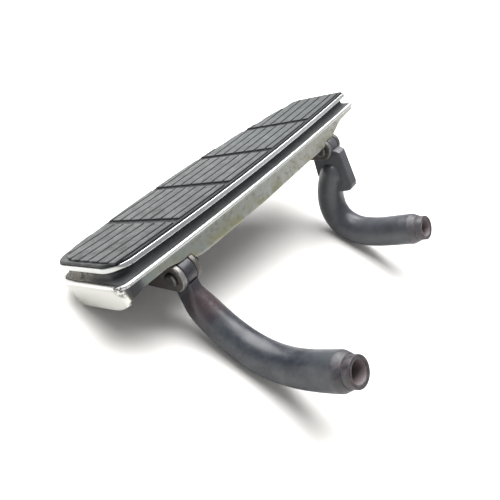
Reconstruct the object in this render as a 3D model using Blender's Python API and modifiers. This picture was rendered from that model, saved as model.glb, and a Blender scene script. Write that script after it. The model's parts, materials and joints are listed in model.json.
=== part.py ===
"""Folding rider's floorboard for a motorcycle: rubber tread, plated pan, damper mat, cast board, hinges and arms.

Seen from above, X runs from the board's rear end to its front end, Y outwards from the motorcycle and Z up.
Sizes below are in the board's own plan frame: X = 0 and Y = 0 at the corner where the tread's rear and inner
edges would meet, Z = 0 at the top of the tread bars at the board's two ends. The whole model hangs on an empty
that puts the world's origin where the rear arm bolts to the motorcycle.
"""

import math

import bmesh
import bpy
from mathutils import Matrix, Vector

MM = 0.001
GAP = 0.3 * MM

# Plan outline of the tread: a straight inner edge, a slanted rear end, and two arcs along the outer edge.
BOARD_LENGTH = 330 * MM
BOARD_WIDTH = 100.5 * MM
WIDEST_AT = 5 / 11 * BOARD_LENGTH
REAR_NARROWING = 0.193 * BOARD_WIDTH
FRONT_NARROWING = 0.4033 * BOARD_WIDTH
REAR_ARC_RADIUS = (WIDEST_AT**2 + REAR_NARROWING**2) / (2 * REAR_NARROWING)
FRONT_ARC_RADIUS = ((BOARD_LENGTH - WIDEST_AT) ** 2 + FRONT_NARROWING**2) / (2 * FRONT_NARROWING)
REAR_SLANT = 0.05
INNER_REAR_RADIUS = 18 * MM
OUTER_REAR_RADIUS = 18 * MM
OUTER_FRONT_RADIUS = 6 * MM
INNER_FRONT_RADIUS = 3 * MM
LEAST_RADIUS = 1.5 * MM

# The board dips slightly between its ends.
DIP = 3.88 * MM
DIP_STATIONS = 8

# Rubber tread pad: bars in panels, half an inch across and two and a half inches long.
BAR_HEIGHT = 3 * MM
BAR_PITCH = 12.7 * MM
BAR_ROOT = 0.5 * MM
PANEL_PITCH = 63.5 * MM
PANEL_COUNT = 5
FIRST_CROSS_GROOVE = 68.2 * MM
BAR_INNER_EDGE = 3.3 * MM
BAR_REAR_BORDER = 5.2 * MM
BAR_FRONT_BORDER = 7.8 * MM
BAR_OUTER_BORDER = 4 * MM
BAR_OUTER_REAR_RADIUS = 34 * MM
FIRST_GROOVE = 11.45 * MM
GROOVE_COUNT = 7
GROOVE_WIDTH = 1.8 * MM
CROSS_GROOVE_WIDTH = 6.4 * MM
GROOVE_WIDENING = 0.3 * MM
BAR_CHAMFER = 0.5 * MM
GROOVE_FLOOR = 0.1 * MM
PAD_THICKNESS = 1.5 * MM

# Plated tread plate: a shallow pan whose rim frames the pad.
RIM_WIDTH = 1.5 * MM
RIM_ROUND = 0.7 * MM
PLATE_DEPTH = 4.3 * MM
PAN_RECESS = PAD_THICKNESS + GAP
STUD_RADIUS = 3 * MM
STUD_ROWS_Y = (0.22 * BOARD_WIDTH, 0.65 * BOARD_WIDTH)
STUD_OVERHANG = 1.5 * MM
NUT_RADIUS = 5.8 * MM
NUT_HEIGHT = 5 * MM
NUT_WASHER_RADIUS = 7 * MM

# Rubber damper mat: its top is hidden under the plate, its lower lip reaches the bead.
MAT_TOP_INSET = 3.2 * MM
MAT_WAIST_INSET = 4.4 * MM
MAT_WAIST_DROP = 2 * MM
MAT_LIP_HEIGHT = 2 * MM
HOLE_CLEARANCE = 0.5 * MM

# Cast base board. Heights are below the bar tops and follow the dip.
DECK_TOP = -16.5 * MM
DECK_THICKNESS = 3 * MM
BEAD_TOP = -14.4 * MM
BEAD_BOTTOM = -17.4 * MM
BEAD_WIDTH = 3.6 * MM
BEAD_ROUND = 1.1 * MM
BEAD_CROWN = 1.1 * MM
INNER_OVERHANG = 5.5 * MM
REAR_OVERHANG = 4.65 * MM
FRONT_OVERHANG = 3.2 * MM
OUTER_OVERHANG = -1 * MM
BASE_INNER_REAR_RADIUS = 4 * MM
SKIRT_SETBACK = 1.1 * MM
SKIRT_WALL = 3.2 * MM
INNER_DRAFT = 0.7 * MM
END_DRAFT = 2.6 * MM
OUTER_DRAFT = 7 * MM

# Lower edge of the skirt: distance along the board and height, under the inner edge and under the outer edge.
INNER_SKIRT_EDGE = (
    (15.5 * MM, -24.6 * MM),
    (40 * MM, -23.9 * MM),
    (55 * MM, -27.8 * MM),
    (70 * MM, -32.5 * MM),
    (78 * MM, -32.9 * MM),
    (273 * MM, -31.9 * MM),
    (284 * MM, -28.2 * MM),
    (292 * MM, -25.5 * MM),
    (301 * MM, -22.1 * MM),
    (324 * MM, -21.3 * MM),
)
OUTER_SKIRT_EDGE = (
    (8 * MM, -37.8 * MM),
    (30 * MM, -34.6 * MM),
    (78 * MM, -32.9 * MM),
    (273 * MM, -31.9 * MM),
    (300 * MM, -25 * MM),
    (326 * MM, -21.8 * MM),
)

# The same along the rear end cap and the front end, against the distance outwards.
REAR_CAP_EDGE = (
    (-5.5 * MM, -27 * MM),
    (3.2 * MM, -30.5 * MM),
    (8 * MM, -33.8 * MM),
    (14 * MM, -36.9 * MM),
    (24 * MM, -38 * MM),
    (60 * MM, -38.3 * MM),
)
FRONT_CAP_EDGE = ((0 * MM, -21.3 * MM), (20 * MM, -21.7 * MM), (60 * MM, -21.8 * MM))

# Hinges: both brackets, pins and arm eyes share one axis along the inner edge.
PIVOT_Y = 4 * MM
PIVOT_Z = -38.5 * MM
REAR_HINGE_X = 53 * MM
FRONT_HINGE_X = BOARD_LENGTH - REAR_HINGE_X
EYE_THICKNESS = 11.4 * MM
EAR_THICKNESS = 4.5 * MM
EAR_RADIUS = 12.4 * MM
EYE_RADIUS = 12.2 * MM
HINGE_RELIEF_RADIUS = 13.2 * MM
PIN_RADIUS = 4.7 * MM
PIN_CLEARANCE = 0.3 * MM
PIN_HEAD_RADIUS = 5.8 * MM
PIN_HEAD_THICKNESS = 2.4 * MM
PIN_TAIL = 5.2 * MM
PIN_WASHER_RADIUS = 7 * MM
COTTER_WIRE = 0.55 * MM
COTTER_SPREAD = 0.7 * MM
COTTER_HOLE_RADIUS = 1.6 * MM
COTTER_HOLE_DISTANCE = 2.2 * MM
WASHER_THICKNESS = 1.4 * MM

# Bracket: a flange screwed to two bosses of the casting, with two ears in front of it.
BOSS_BOTTOM = -26 * MM
BOSS_RADIUS = 9.5 * MM
BOSS_ROOT = -20.3 * MM
FLANGE_THICKNESS = 5 * MM
FLANGE_INNER_Y = 17.5 * MM
FLANGE_OUTER_Y = 42 * MM
FLANGE_CORNER = 8 * MM
FLANGE_END = 9 * MM
SCREW_Y = 31 * MM
SCREW_RADIUS = 4 * MM
SCREW_HEAD_RADIUS = 7.5 * MM
SCREW_HEAD_HEIGHT = 5.3 * MM
SPANNER_ROOM = 1 * MM
SCREW_SPACING = EYE_THICKNESS + 2 * (GAP + EAR_THICKNESS + SCREW_HEAD_RADIUS + SPANNER_ROOM)
FLANGE_LENGTH = SCREW_SPACING + 2 * FLANGE_END
LOCK_WASHER_THICKNESS = 1.8 * MM
LOCK_WASHER_RADIUS = 7 * MM
SCREW_REACH = 5 * MM
EAR_OUTER_Y = 36 * MM
EAR_OUTER_BOTTOM = -46 * MM

# The plate's studs stand beside the brackets' flanges.
STUD_TO_FLANGE = 19 * MM
STUD_ROWS_X = (
    REAR_HINGE_X + FLANGE_LENGTH / 2 + STUD_TO_FLANGE,
    FRONT_HINGE_X - FLANGE_LENGTH / 2 - STUD_TO_FLANGE,
)

# Arms: a flattened eye, a bent round bar and a necked, bored end.
HEEL_REACH = 22 * MM
HEEL_DEPTH = 6 * MM
END_CONE_LENGTH = 10 * MM
NECK_LENGTH = 4 * MM
NECK_RADIUS = 11.9 * MM
NECK_EDGE = 0.6 * MM
BORE_RADIUS = 8.3 * MM
BORE_DEPTH = 24 * MM
BORE_CHAMFER = 0.9 * MM
DRILL_POINT = 4 * MM
BAR_END_RADIUS = 15.3 * MM

# Sections of each arm in the plane of its hinge: Y, Z, half width, half thickness along X, roundness (1 is round).
REAR_ARM_SECTIONS = (
    (4 * MM, -38.5 * MM, 10.4 * MM, EYE_THICKNESS / 2, 0.3),
    (4.2 * MM, -48 * MM, 10.4 * MM, EYE_THICKNESS / 2, 0.3),
    (3.6 * MM, -55 * MM, 10.6 * MM, 6.2 * MM, 0.4),
    (2 * MM, -61 * MM, 11.4 * MM, 8.2 * MM, 0.6),
    (-0.6 * MM, -67.5 * MM, 12.4 * MM, 11 * MM, 0.85),
    (-4 * MM, -74 * MM, 13 * MM, 12.7 * MM, 1),
    (-11.9 * MM, -84.8 * MM, 13.2 * MM, 13.2 * MM, 1),
    (-21.5 * MM, -95.5 * MM, 13.6 * MM, 13.6 * MM, 1),
    (-34.5 * MM, -106.2 * MM, 14.1 * MM, 14.1 * MM, 1),
    (-50.5 * MM, -114.2 * MM, 14.4 * MM, 14.4 * MM, 1),
    (-68.7 * MM, -117.8 * MM, 14.7 * MM, 14.7 * MM, 1),
    (-86 * MM, -117.8 * MM, 15 * MM, 15 * MM, 1),
    (-102 * MM, -115.9 * MM, BAR_END_RADIUS, BAR_END_RADIUS, 1),
)
REAR_ARM_END = (-127 * MM, -111.9 * MM)
FRONT_ARM_SECTIONS = (
    (6 * MM, -67 * MM, 13 * MM, 13 * MM, 1),
    (11 * MM, -76 * MM, 13.3 * MM, 13.3 * MM, 1),
    (15.4 * MM, -86 * MM, 13.6 * MM, 13.6 * MM, 1),
    (18 * MM, -97.5 * MM, 14 * MM, 14 * MM, 1),
    (18 * MM, -109 * MM, 14.4 * MM, 14.4 * MM, 1),
    (14 * MM, -120.5 * MM, 14.6 * MM, 14.6 * MM, 1),
    (5 * MM, -129.5 * MM, 14.8 * MM, 14.8 * MM, 1),
    (-7.5 * MM, -134.8 * MM, 15 * MM, 15 * MM, 1),
    (-24 * MM, -136.6 * MM, 15.1 * MM, 15.1 * MM, 1),
    (-40 * MM, -136 * MM, 15.2 * MM, 15.2 * MM, 1),
    (-53 * MM, -134.9 * MM, BAR_END_RADIUS, BAR_END_RADIUS, 1),
)
FRONT_ARM_END = (-78.2 * MM, -133 * MM)
FRONT_BLADE_INNER_Y = -12.4 * MM
FRONT_BLADE_FOOT_Y = -14.7 * MM
FRONT_BLADE_OUTER_Y = 21 * MM
FRONT_BLADE_SHOULDER_Z = -43.4 * MM
FRONT_BLADE_FOOT_Z = -80 * MM
FRONT_BLADE_BOTTOM_Z = -86.5 * MM
FRONT_BLADE_EDGE = 1.4 * MM

ROUND_SEGMENTS = 24
SMALL_SEGMENTS = 16
BAR_SECTION_POINTS = 20


def clear_scene():
    for obj in list(bpy.data.objects):
        bpy.data.objects.remove(obj, do_unlink=True)


def new_collection(name):
    collection = bpy.data.collections.new(name)
    bpy.context.scene.collection.children.link(collection)
    return collection


def new_material(name, colour, roughness, metallic):
    material = bpy.data.materials.new(name)
    material.use_nodes = True
    shader = material.node_tree.nodes["Principled BSDF"]
    shader.inputs["Base Color"].default_value = (*colour, 1)
    shader.inputs["Roughness"].default_value = roughness
    shader.inputs["Metallic"].default_value = metallic
    return material


def along(table, value):
    """Reads a table of (value, result) pairs by straight lines between them, flat beyond its ends."""
    if value <= table[0][0]:
        return table[0][1]
    for (low, low_result), (high, high_result) in zip(table, table[1:]):
        if value <= high:
            return low_result + (high_result - low_result) * (value - low) / (high - low)
    return table[-1][1]


def dip(x):
    """How far the board lies below its ends: a parabola, taken as straight between even stations."""
    step = BOARD_LENGTH / DIP_STATIONS
    first = min(max(math.floor(x / step), 0), DIP_STATIONS - 1)
    start, end = (DIP * ((2 * (first + k) / DIP_STATIONS - 1) ** 2 - 1) for k in (0, 1))
    return start + (end - start) * (x / step - first)


def follow_dip(bm):
    """Cuts a mesh at the stations along X and lowers each point by the dip there."""
    for i in range(1, DIP_STATIONS):
        station = Vector((BOARD_LENGTH * i / DIP_STATIONS, 0, 0))
        geometry = bm.verts[:] + bm.edges[:] + bm.faces[:]
        cut = bmesh.ops.bisect_plane(bm, geom=geometry, dist=1e-6, plane_co=station, plane_no=(1, 0, 0))
        for item in cut["geom_cut"]:
            if isinstance(item, bmesh.types.BMVert):
                item.co.x = station.x
    for vert in bm.verts:
        vert.co.z += dip(vert.co.x)


def arc(centre, radius, start, end, count):
    """Points on a circle from one angle to another, both ends included."""
    angles = [start + (end - start) * i / count for i in range(count + 1)]
    return [(centre[0] + radius * math.cos(a), centre[1] + radius * math.sin(a)) for a in angles]


def direction(start, end):
    return math.atan2(end[1] - start[1], end[0] - start[0])


def plan_outline(
    inner, rear, front, outer, inner_rear_radius=INNER_REAR_RADIUS, outer_rear_radius=OUTER_REAR_RADIUS
):
    """The tread's plan outline moved outwards by a distance on each side, anticlockwise from the inner rear corner.

    Every outline has the same number of points in the same order, so a wall can join any two of them.
    """
    stretch = math.hypot(1, REAR_SLANT)
    radii = (
        max(inner_rear_radius + min(inner, rear), LEAST_RADIUS),
        max(outer_rear_radius + min(outer, rear), LEAST_RADIUS),
        max(OUTER_FRONT_RADIUS + min(outer, front), LEAST_RADIUS),
        max(INNER_FRONT_RADIUS + min(inner, front), LEAST_RADIUS),
    )
    rear_centre = (WIDEST_AT, BOARD_WIDTH - REAR_ARC_RADIUS)
    front_centre = (WIDEST_AT, BOARD_WIDTH - FRONT_ARC_RADIUS)
    rear_facing = math.atan2(REAR_SLANT, -1)

    def beside_rear_end(y, distance):
        return -rear + REAR_SLANT * y + distance * stretch

    def on_arc(centre, reach, x):
        return centre[1] + math.sqrt(reach**2 - (x - centre[0]) ** 2)

    inner_rear = (beside_rear_end(radii[0] - inner, radii[0]), radii[0] - inner)
    inner_front = (BOARD_LENGTH + front - radii[3], radii[3] - inner)
    x = BOARD_LENGTH + front - radii[2]
    outer_front = (x, on_arc(front_centre, FRONT_ARC_RADIUS + outer - radii[2], x))
    y = BOARD_WIDTH
    for _ in range(20):
        x = beside_rear_end(y, radii[1])
        y = on_arc(rear_centre, REAR_ARC_RADIUS + outer - radii[1], x)
    outer_rear = (x, y)
    front_turn = direction(front_centre, outer_front)
    rear_turn = direction(rear_centre, outer_rear)

    first_station = max(INNER_SKIRT_EDGE[0][0], inner_rear[0] + 2 * MM)
    stations = [x for x, _ in INNER_SKIRT_EDGE[1:]] + [BOARD_LENGTH * k / 6 for k in (2, 3, 4)]
    points = [(inner_rear[0], -inner)]
    last_station = inner_front[0] - 1 * MM
    points += [(min(x, last_station), -inner) for x in (first_station, *sorted(stations))]
    points += arc(inner_front, radii[3], -math.pi / 2, 0, 3)
    points += [(BOARD_LENGTH + front, outer_front[1] * share) for share in (0.33, 0.66)]
    points += arc(outer_front, radii[2], 0, front_turn, 3)
    points += arc(front_centre, FRONT_ARC_RADIUS + outer, front_turn, math.pi / 2, 7)[1:-1]
    points += arc(rear_centre, REAR_ARC_RADIUS + outer, math.pi / 2, rear_turn, 6)[:-1]
    points += arc(outer_rear, radii[1], rear_turn, rear_facing, 5)
    down_rear_end = [outer_rear[1] + (inner_rear[1] - outer_rear[1]) * share for share in (0.25, 0.55, 0.8)]
    points += [(beside_rear_end(y, 0), y) for y in down_rear_end]
    points += arc(inner_rear, radii[0], rear_facing, 1.5 * math.pi, 5)[:-1]
    return points


def tread_outline(offset):
    return plan_outline(offset, offset, offset, offset)


def base_outline(inset, draft=0):
    """The casting's plan outline, inset evenly, and moved further in by a share of each side's draft."""
    return plan_outline(
        INNER_OVERHANG - inset - INNER_DRAFT * draft,
        REAR_OVERHANG - inset - END_DRAFT * draft,
        FRONT_OVERHANG - inset - END_DRAFT * draft,
        OUTER_OVERHANG - inset - OUTER_DRAFT * draft,
        BASE_INNER_REAR_RADIUS,
    )


def at_height(outline, z):
    return [(x, y, z) for x, y in outline]


def crowned(outline, z):
    """An outline whose height grows towards the middle of the board, where the bead dips less than the deck."""
    return [(x, y, z + BEAD_CROWN * (1 - (2 * x / BOARD_LENGTH - 1) ** 2)) for x, y in outline]


def skirt_edge_height(x, y):
    """Height of the casting's lower edge below a point of its outline."""
    if y > REAR_CAP_EDGE[-1][0]:
        return along(OUTER_SKIRT_EDGE, x)
    if x > INNER_SKIRT_EDGE[-1][0]:
        return along(FRONT_CAP_EDGE, y)
    if x < INNER_SKIRT_EDGE[0][0] - 1 * MM:
        return along(REAR_CAP_EDGE, y)
    return along(INNER_SKIRT_EDGE, x)


def add_rings(bm, rings):
    """Adds a closed body whose wall passes through rings of points, with a cap on the first and the last."""
    loops = [[bm.verts.new(point) for point in ring] for ring in rings]
    for lower, upper in zip(loops, loops[1:]):
        for i in range(len(lower)):
            bm.faces.new((lower[i - 1], lower[i], upper[i], upper[i - 1]))
    bm.faces.new(loops[0])
    bm.faces.new(loops[-1])
    bmesh.ops.recalc_face_normals(bm, faces=bm.faces[:])
    return bm


class Workshop:
    """Collections, materials and the frame that every piece hangs on."""

    def __init__(self, origin):
        self.parts = new_collection("floorboard")
        self.tools = new_collection("floorboard_cutters")
        self.frame = bpy.data.objects.new("board_frame", None)
        self.parts.objects.link(self.frame)
        self.frame.location = -origin
        self.pivot = bpy.data.objects.new("hinge_axis", None)
        self.parts.objects.link(self.pivot)
        self.pivot.parent = self.frame
        self.pivot.location = (0, PIVOT_Y, PIVOT_Z)
        self.materials = {
            "rubber": new_material("tread_rubber", (0.19, 0.2, 0.2), 0.62, 0),
            "damper": new_material("damper_rubber", (0.05, 0.05, 0.052), 0.7, 0),
            "chrome": new_material("plated_steel", (0.8, 0.8, 0.8), 0.12, 1),
            "casting": new_material("cast_aluminium", (0.6, 0.6, 0.57), 0.4, 1),
            "paint": new_material("worn_black_paint", (0.06, 0.06, 0.07), 0.35, 0),
            "steel": new_material("plain_steel", (0.42, 0.4, 0.38), 0.4, 1),
        }

    def object_of(self, name, mesh, material=None, smooth_under=None):
        """Adds a mesh as a part in the board frame, or as a hidden cutter where it has no material."""
        obj = bpy.data.objects.new(name, mesh)
        obj.parent = self.frame
        if material:
            self.parts.objects.link(obj)
            if not mesh.materials:
                mesh.materials.append(self.materials[material])
        else:
            self.tools.objects.link(obj)
            obj.hide_render = True
            obj.display_type = "WIRE"
        if smooth_under:
            mesh.shade_smooth()
            mesh.set_sharp_from_angle(angle=math.radians(smooth_under))
        return obj

    def from_bmesh(self, name, bm, material=None, smooth_under=None):
        mesh = bpy.data.meshes.new(name)
        bm.to_mesh(mesh)
        bm.free()
        return self.object_of(name, mesh, material, smooth_under)

    def lofted(self, name, rings, material=None, smooth_under=None, dips=False):
        """A body through rings of points, from flat cap to flat cap."""
        bm = bmesh.new()
        add_rings(bm, rings)
        if dips:
            follow_dip(bm)
        return self.from_bmesh(name, bm, material, smooth_under)

    def rods(self, name, spots, radius, bottom, top, axis="Z", material=None, segments=ROUND_SEGMENTS):
        """One mesh of parallel cylinders: each spot is the pair of coordinates across the axis."""
        bm = bmesh.new()
        turn = Matrix.Rotation(math.pi / 2, 4, "Y") if axis == "X" else Matrix()
        for spot in spots:
            middle = (bottom + top) / 2
            place = (middle, *spot) if axis == "X" else (*spot, middle)
            bmesh.ops.create_cone(
                bm,
                cap_ends=True,
                segments=segments,
                radius1=radius,
                radius2=radius,
                depth=top - bottom,
                matrix=Matrix.Translation(place) @ turn,
            )
        return self.from_bmesh(name, bm, material, 40)

    def turned(self, name, profile, place, axis, material=None, segments=SMALL_SEGMENTS):
        """A profile of (radius, height) pairs, listed top to bottom, turned about its axis by a Screw."""
        mesh = bpy.data.meshes.new(name)
        edges = [(i, i + 1) for i in range(len(profile) - 1)]
        mesh.from_pydata([(radius, 0, height) for radius, height in profile], edges, [])
        obj = self.object_of(name, mesh, material)
        obj.location = place
        obj.rotation_euler = Vector((0, 0, 1)).rotation_difference(axis).to_euler()
        screw = obj.modifiers.new("turn", "SCREW")
        screw.steps = segments
        screw.render_steps = segments
        screw.use_merge_vertices = True
        screw.merge_threshold = 0.00005
        screw.use_smooth_shade = False
        return obj

    def slab(self, name, outline, low_x, high_x, material=None, bevel=0):
        """A flat outline in Y and Z, given thickness along X."""
        bm = bmesh.new()
        face = bm.faces.new([bm.verts.new((low_x, y, z)) for y, z in outline])
        raised = bmesh.ops.extrude_face_region(bm, geom=[face])["geom"]
        moved = [item for item in raised if isinstance(item, bmesh.types.BMVert)]
        bmesh.ops.translate(bm, verts=moved, vec=(high_x - low_x, 0, 0))
        bmesh.ops.recalc_face_normals(bm, faces=bm.faces[:])
        obj = self.from_bmesh(name, bm, material)
        if bevel:
            rounding = obj.modifiers.new("rounded_edges", "BEVEL")
            rounding.width = bevel
            rounding.segments = 2
            rounding.limit_method = "ANGLE"
            rounding.angle_limit = math.radians(50)
        return obj


def combine(obj, operation, tool):
    boolean = obj.modifiers.new(f"{operation.lower()}_{tool.name}", "BOOLEAN")
    boolean.operation = operation
    boolean.object = tool
    boolean.solver = "EXACT"
    return obj


def apply_modifiers(obj, dipped_after=False):
    """Puts the evaluated mesh in place of the mesh and its modifiers."""
    graph = bpy.context.evaluated_depsgraph_get()
    mesh = bpy.data.meshes.new_from_object(obj.evaluated_get(graph))
    obj.modifiers.clear()
    obj.data = mesh
    if dipped_after:
        bm = bmesh.new()
        bm.from_mesh(mesh)
        bmesh.ops.remove_doubles(bm, verts=bm.verts[:], dist=0.01 * MM)
        follow_dip(bm)
        bm.to_mesh(mesh)
        bm.free()
    return obj


def copies(shop, original, names, places):
    """Renames a piece to the first name and adds its twins, which share its mesh."""
    apply_modifiers(original)
    for name, place in zip(names, places):
        twin = original if name == names[0] else shop.object_of(name, original.data, "steel")
        twin.name = name
        twin.rotation_euler = original.rotation_euler
        twin.location = place


def groove_section(width):
    """Cross section of a groove cutter: upright walls, a chamfer at the bar's edge and room above."""
    floor = GROOVE_FLOOR - BAR_HEIGHT
    low, high = width / 2, width / 2 + GROOVE_WIDENING
    side = ((low, floor), (high, -BAR_CHAMFER), (high + 2 * BAR_CHAMFER, BAR_CHAMFER))
    return [(-across, z) for across, z in reversed(side)] + list(side)


def build_tread_pad(shop):
    bottom = -BAR_HEIGHT - PAD_THICKNESS
    sheet = tread_outline(-RIM_WIDTH - GAP)
    pad = shop.lofted("tread_pad", [at_height(sheet, bottom), at_height(sheet, -BAR_HEIGHT)], "rubber")

    def bar_outline(inset):
        return plan_outline(
            -BAR_INNER_EDGE - inset,
            -BAR_REAR_BORDER - inset,
            -BAR_FRONT_BORDER - inset,
            -BAR_OUTER_BORDER - inset,
            outer_rear_radius=BAR_OUTER_REAR_RADIUS,
        )

    block = [
        at_height(bar_outline(0), -BAR_HEIGHT - BAR_ROOT),
        at_height(bar_outline(0), -BAR_CHAMFER),
        at_height(bar_outline(BAR_CHAMFER), 0),
    ]
    combine(pad, "UNION", shop.lofted("bar_block", block))

    along_board = bmesh.new()
    for k in range(GROOVE_COUNT):
        y = FIRST_GROOVE + k * BAR_PITCH
        ends = (-BAR_PITCH, BOARD_LENGTH + BAR_PITCH)
        add_rings(along_board, [[(x, y + across, z) for across, z in groove_section(GROOVE_WIDTH)] for x in ends])
    combine(pad, "DIFFERENCE", shop.from_bmesh("long_grooves", along_board))

    across_board = bmesh.new()
    for k in range(PANEL_COUNT - 1):
        x = FIRST_CROSS_GROOVE + k * PANEL_PITCH
        ends = (-BAR_PITCH, BOARD_WIDTH + BAR_PITCH)
        add_rings(across_board, [[(x + off, y, z) for off, z in groove_section(CROSS_GROOVE_WIDTH)] for y in ends])
    combine(pad, "DIFFERENCE", shop.from_bmesh("cross_grooves", across_board))
    return apply_modifiers(pad, dipped_after=True)


def stud_spots():
    return [(x, y) for x in STUD_ROWS_X for y in STUD_ROWS_Y]


def stud_tip(x):
    """Height of the lower end of a plate stud: below its washer and nut."""
    stack = 2 * GAP + WASHER_THICKNESS + NUT_HEIGHT + STUD_OVERHANG
    return DECK_TOP - DECK_THICKNESS - stack + dip(x)


def build_tread_plate(shop):
    top = -BAR_HEIGHT
    bottom = top - PLATE_DEPTH
    rings = [
        at_height(tread_outline(-1.6 * RIM_ROUND), bottom),
        at_height(tread_outline(-0.4 * RIM_ROUND), bottom + 0.4 * RIM_ROUND),
        at_height(tread_outline(0), bottom + 1.4 * RIM_ROUND),
        at_height(tread_outline(0), top - RIM_ROUND),
        at_height(tread_outline(-0.3 * RIM_ROUND), top - 0.3 * RIM_ROUND),
        at_height(tread_outline(-RIM_ROUND), top),
        at_height(tread_outline(-RIM_WIDTH), top),
        at_height(tread_outline(-RIM_WIDTH), top - PAN_RECESS),
    ]
    plate = shop.lofted("tread_plate", rings, "chrome", dips=True)
    for number, (x, y) in enumerate(stud_spots(), 1):
        root = bottom + dip(x) + PLATE_DEPTH / 4
        combine(plate, "UNION", shop.rods(f"plate_stud_{number}", [(x, y)], STUD_RADIUS, stud_tip(x), root))
    return plate


def build_damper_mat(shop):
    top = -BAR_HEIGHT - PLATE_DEPTH - GAP
    bottom = DECK_TOP + GAP
    lip = BEAD_WIDTH + 2 * GAP
    rings = [
        at_height(tread_outline(-MAT_TOP_INSET), top),
        at_height(tread_outline(-MAT_WAIST_INSET), top - MAT_WAIST_DROP),
        at_height(tread_outline(-MAT_WAIST_INSET), (top + bottom) / 2),
        crowned(base_outline(lip), bottom + MAT_LIP_HEIGHT),
        crowned(base_outline(lip), bottom + MAT_LIP_HEIGHT / 2),
        at_height(base_outline(lip + 2 * GAP), bottom),
    ]
    mat = shop.lofted("damper_mat", rings, "damper", dips=True)
    hole = STUD_RADIUS + HOLE_CLEARANCE
    lowest = bottom - DIP - DECK_THICKNESS
    combine(mat, "DIFFERENCE", shop.rods("mat_holes", stud_spots(), hole, lowest, top + DECK_THICKNESS))
    return mat


def hinge_spots():
    return [("rear", REAR_HINGE_X), ("front", FRONT_HINGE_X)]


def screw_spots(hinge_x):
    return [(hinge_x + side * SCREW_SPACING / 2, SCREW_Y) for side in (-1, 1)]


def build_base_board(shop):
    bead = BEAD_WIDTH
    edge = [skirt_edge_height(x, y) for x, y in base_outline(0)]
    outer_foot = [(x, y, z) for (x, y), z in zip(base_outline(SKIRT_SETBACK, 1), edge)]
    inner_foot = [(x, y, z) for (x, y), z in zip(base_outline(SKIRT_SETBACK + SKIRT_WALL, 1), edge)]
    rings = [
        at_height(base_outline(bead + BEAD_ROUND), DECK_TOP),
        crowned(base_outline(bead + 0.3 * BEAD_ROUND), (DECK_TOP + BEAD_TOP) / 2),
        crowned(base_outline(bead - 0.6 * BEAD_ROUND), BEAD_TOP - 0.2 * BEAD_ROUND),
        crowned(base_outline(bead - 1.3 * BEAD_ROUND), BEAD_TOP),
        crowned(base_outline(BEAD_ROUND), BEAD_TOP),
        crowned(base_outline(0.3 * BEAD_ROUND), BEAD_TOP - 0.6 * BEAD_ROUND),
        crowned(base_outline(0), BEAD_TOP - 1.6 * BEAD_ROUND),
        crowned(base_outline(0.1 * BEAD_ROUND), BEAD_BOTTOM),
        crowned(base_outline(SKIRT_SETBACK), BEAD_BOTTOM - 0.5 * BEAD_ROUND),
        outer_foot,
        inner_foot,
        at_height(base_outline(SKIRT_SETBACK + SKIRT_WALL + GAP, 1), DECK_TOP - DECK_THICKNESS),
    ]
    board = shop.lofted("base_board", rings, "casting", dips=True)
    screws = [spot for _, hinge_x in hinge_spots() for spot in screw_spots(hinge_x)]
    combine(board, "UNION", shop.rods("bracket_bosses", screws, BOSS_RADIUS, BOSS_BOTTOM, BOSS_ROOT))
    hole = STUD_RADIUS + HOLE_CLEARANCE
    combine(board, "DIFFERENCE", shop.rods("deck_holes", stud_spots(), hole, -2 * BOARD_WIDTH / 3, 0))
    blind_top = BOSS_BOTTOM + SCREW_REACH + HOLE_CLEARANCE
    blind = shop.rods("blind_holes", screws, SCREW_RADIUS + GAP, BOSS_BOTTOM - DECK_THICKNESS, blind_top)
    combine(board, "DIFFERENCE", blind)
    half = EYE_THICKNESS / 2 + EAR_THICKNESS + 3 * GAP
    for name, hinge_x in hinge_spots():
        spot = [(PIVOT_Y, PIVOT_Z)]
        ends = (hinge_x - half, hinge_x + half)
        relief = shop.rods(f"{name}_hinge_relief", spot, HINGE_RELIEF_RADIUS, *ends, axis="X", segments=36)
        combine(board, "DIFFERENCE", relief)
    return board


def build_plate_fasteners(shop):
    """A washer and a nut on each plate stud, under the deck."""
    under = DECK_TOP - DECK_THICKNESS - GAP
    hole = STUD_RADIUS + GAP
    profile = [(hole, 0), (NUT_WASHER_RADIUS, 0), (NUT_WASHER_RADIUS, -WASHER_THICKNESS), (hole, -WASHER_THICKNESS)]
    washer = shop.turned("plate_washer", profile + [profile[0]], (0, 0, 0), Vector((0, 0, 1)), "steel")
    nut = shop.rods("plate_nut", [(0, 0)], NUT_RADIUS, -NUT_HEIGHT, 0, material="steel", segments=6)
    combine(nut, "DIFFERENCE", shop.rods("nut_hole", [(0, 0)], hole, -2 * NUT_HEIGHT, NUT_HEIGHT))
    names = [f"{end}_{side}" for end in ("rear", "front") for side in ("inner", "outer")]
    places = [(x, y, under + dip(x)) for x, y in stud_spots()]
    copies(shop, washer, [f"plate_washer_{name}" for name in names], places)
    below = WASHER_THICKNESS + GAP
    copies(shop, nut, [f"plate_nut_{name}" for name in names], [(x, y, z - below) for x, y, z in places])


def ear_outline():
    """Side view of a bracket ear: round about the pin, with a lower edge that runs up and outwards."""
    nose = arc((PIVOT_Y, PIVOT_Z), EAR_RADIUS, math.radians(62), math.radians(279), 18)
    root = BOSS_BOTTOM - GAP - FLANGE_THICKNESS / 4
    return nose + [(EAR_OUTER_Y, EAR_OUTER_BOTTOM), (EAR_OUTER_Y, root)]


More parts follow.
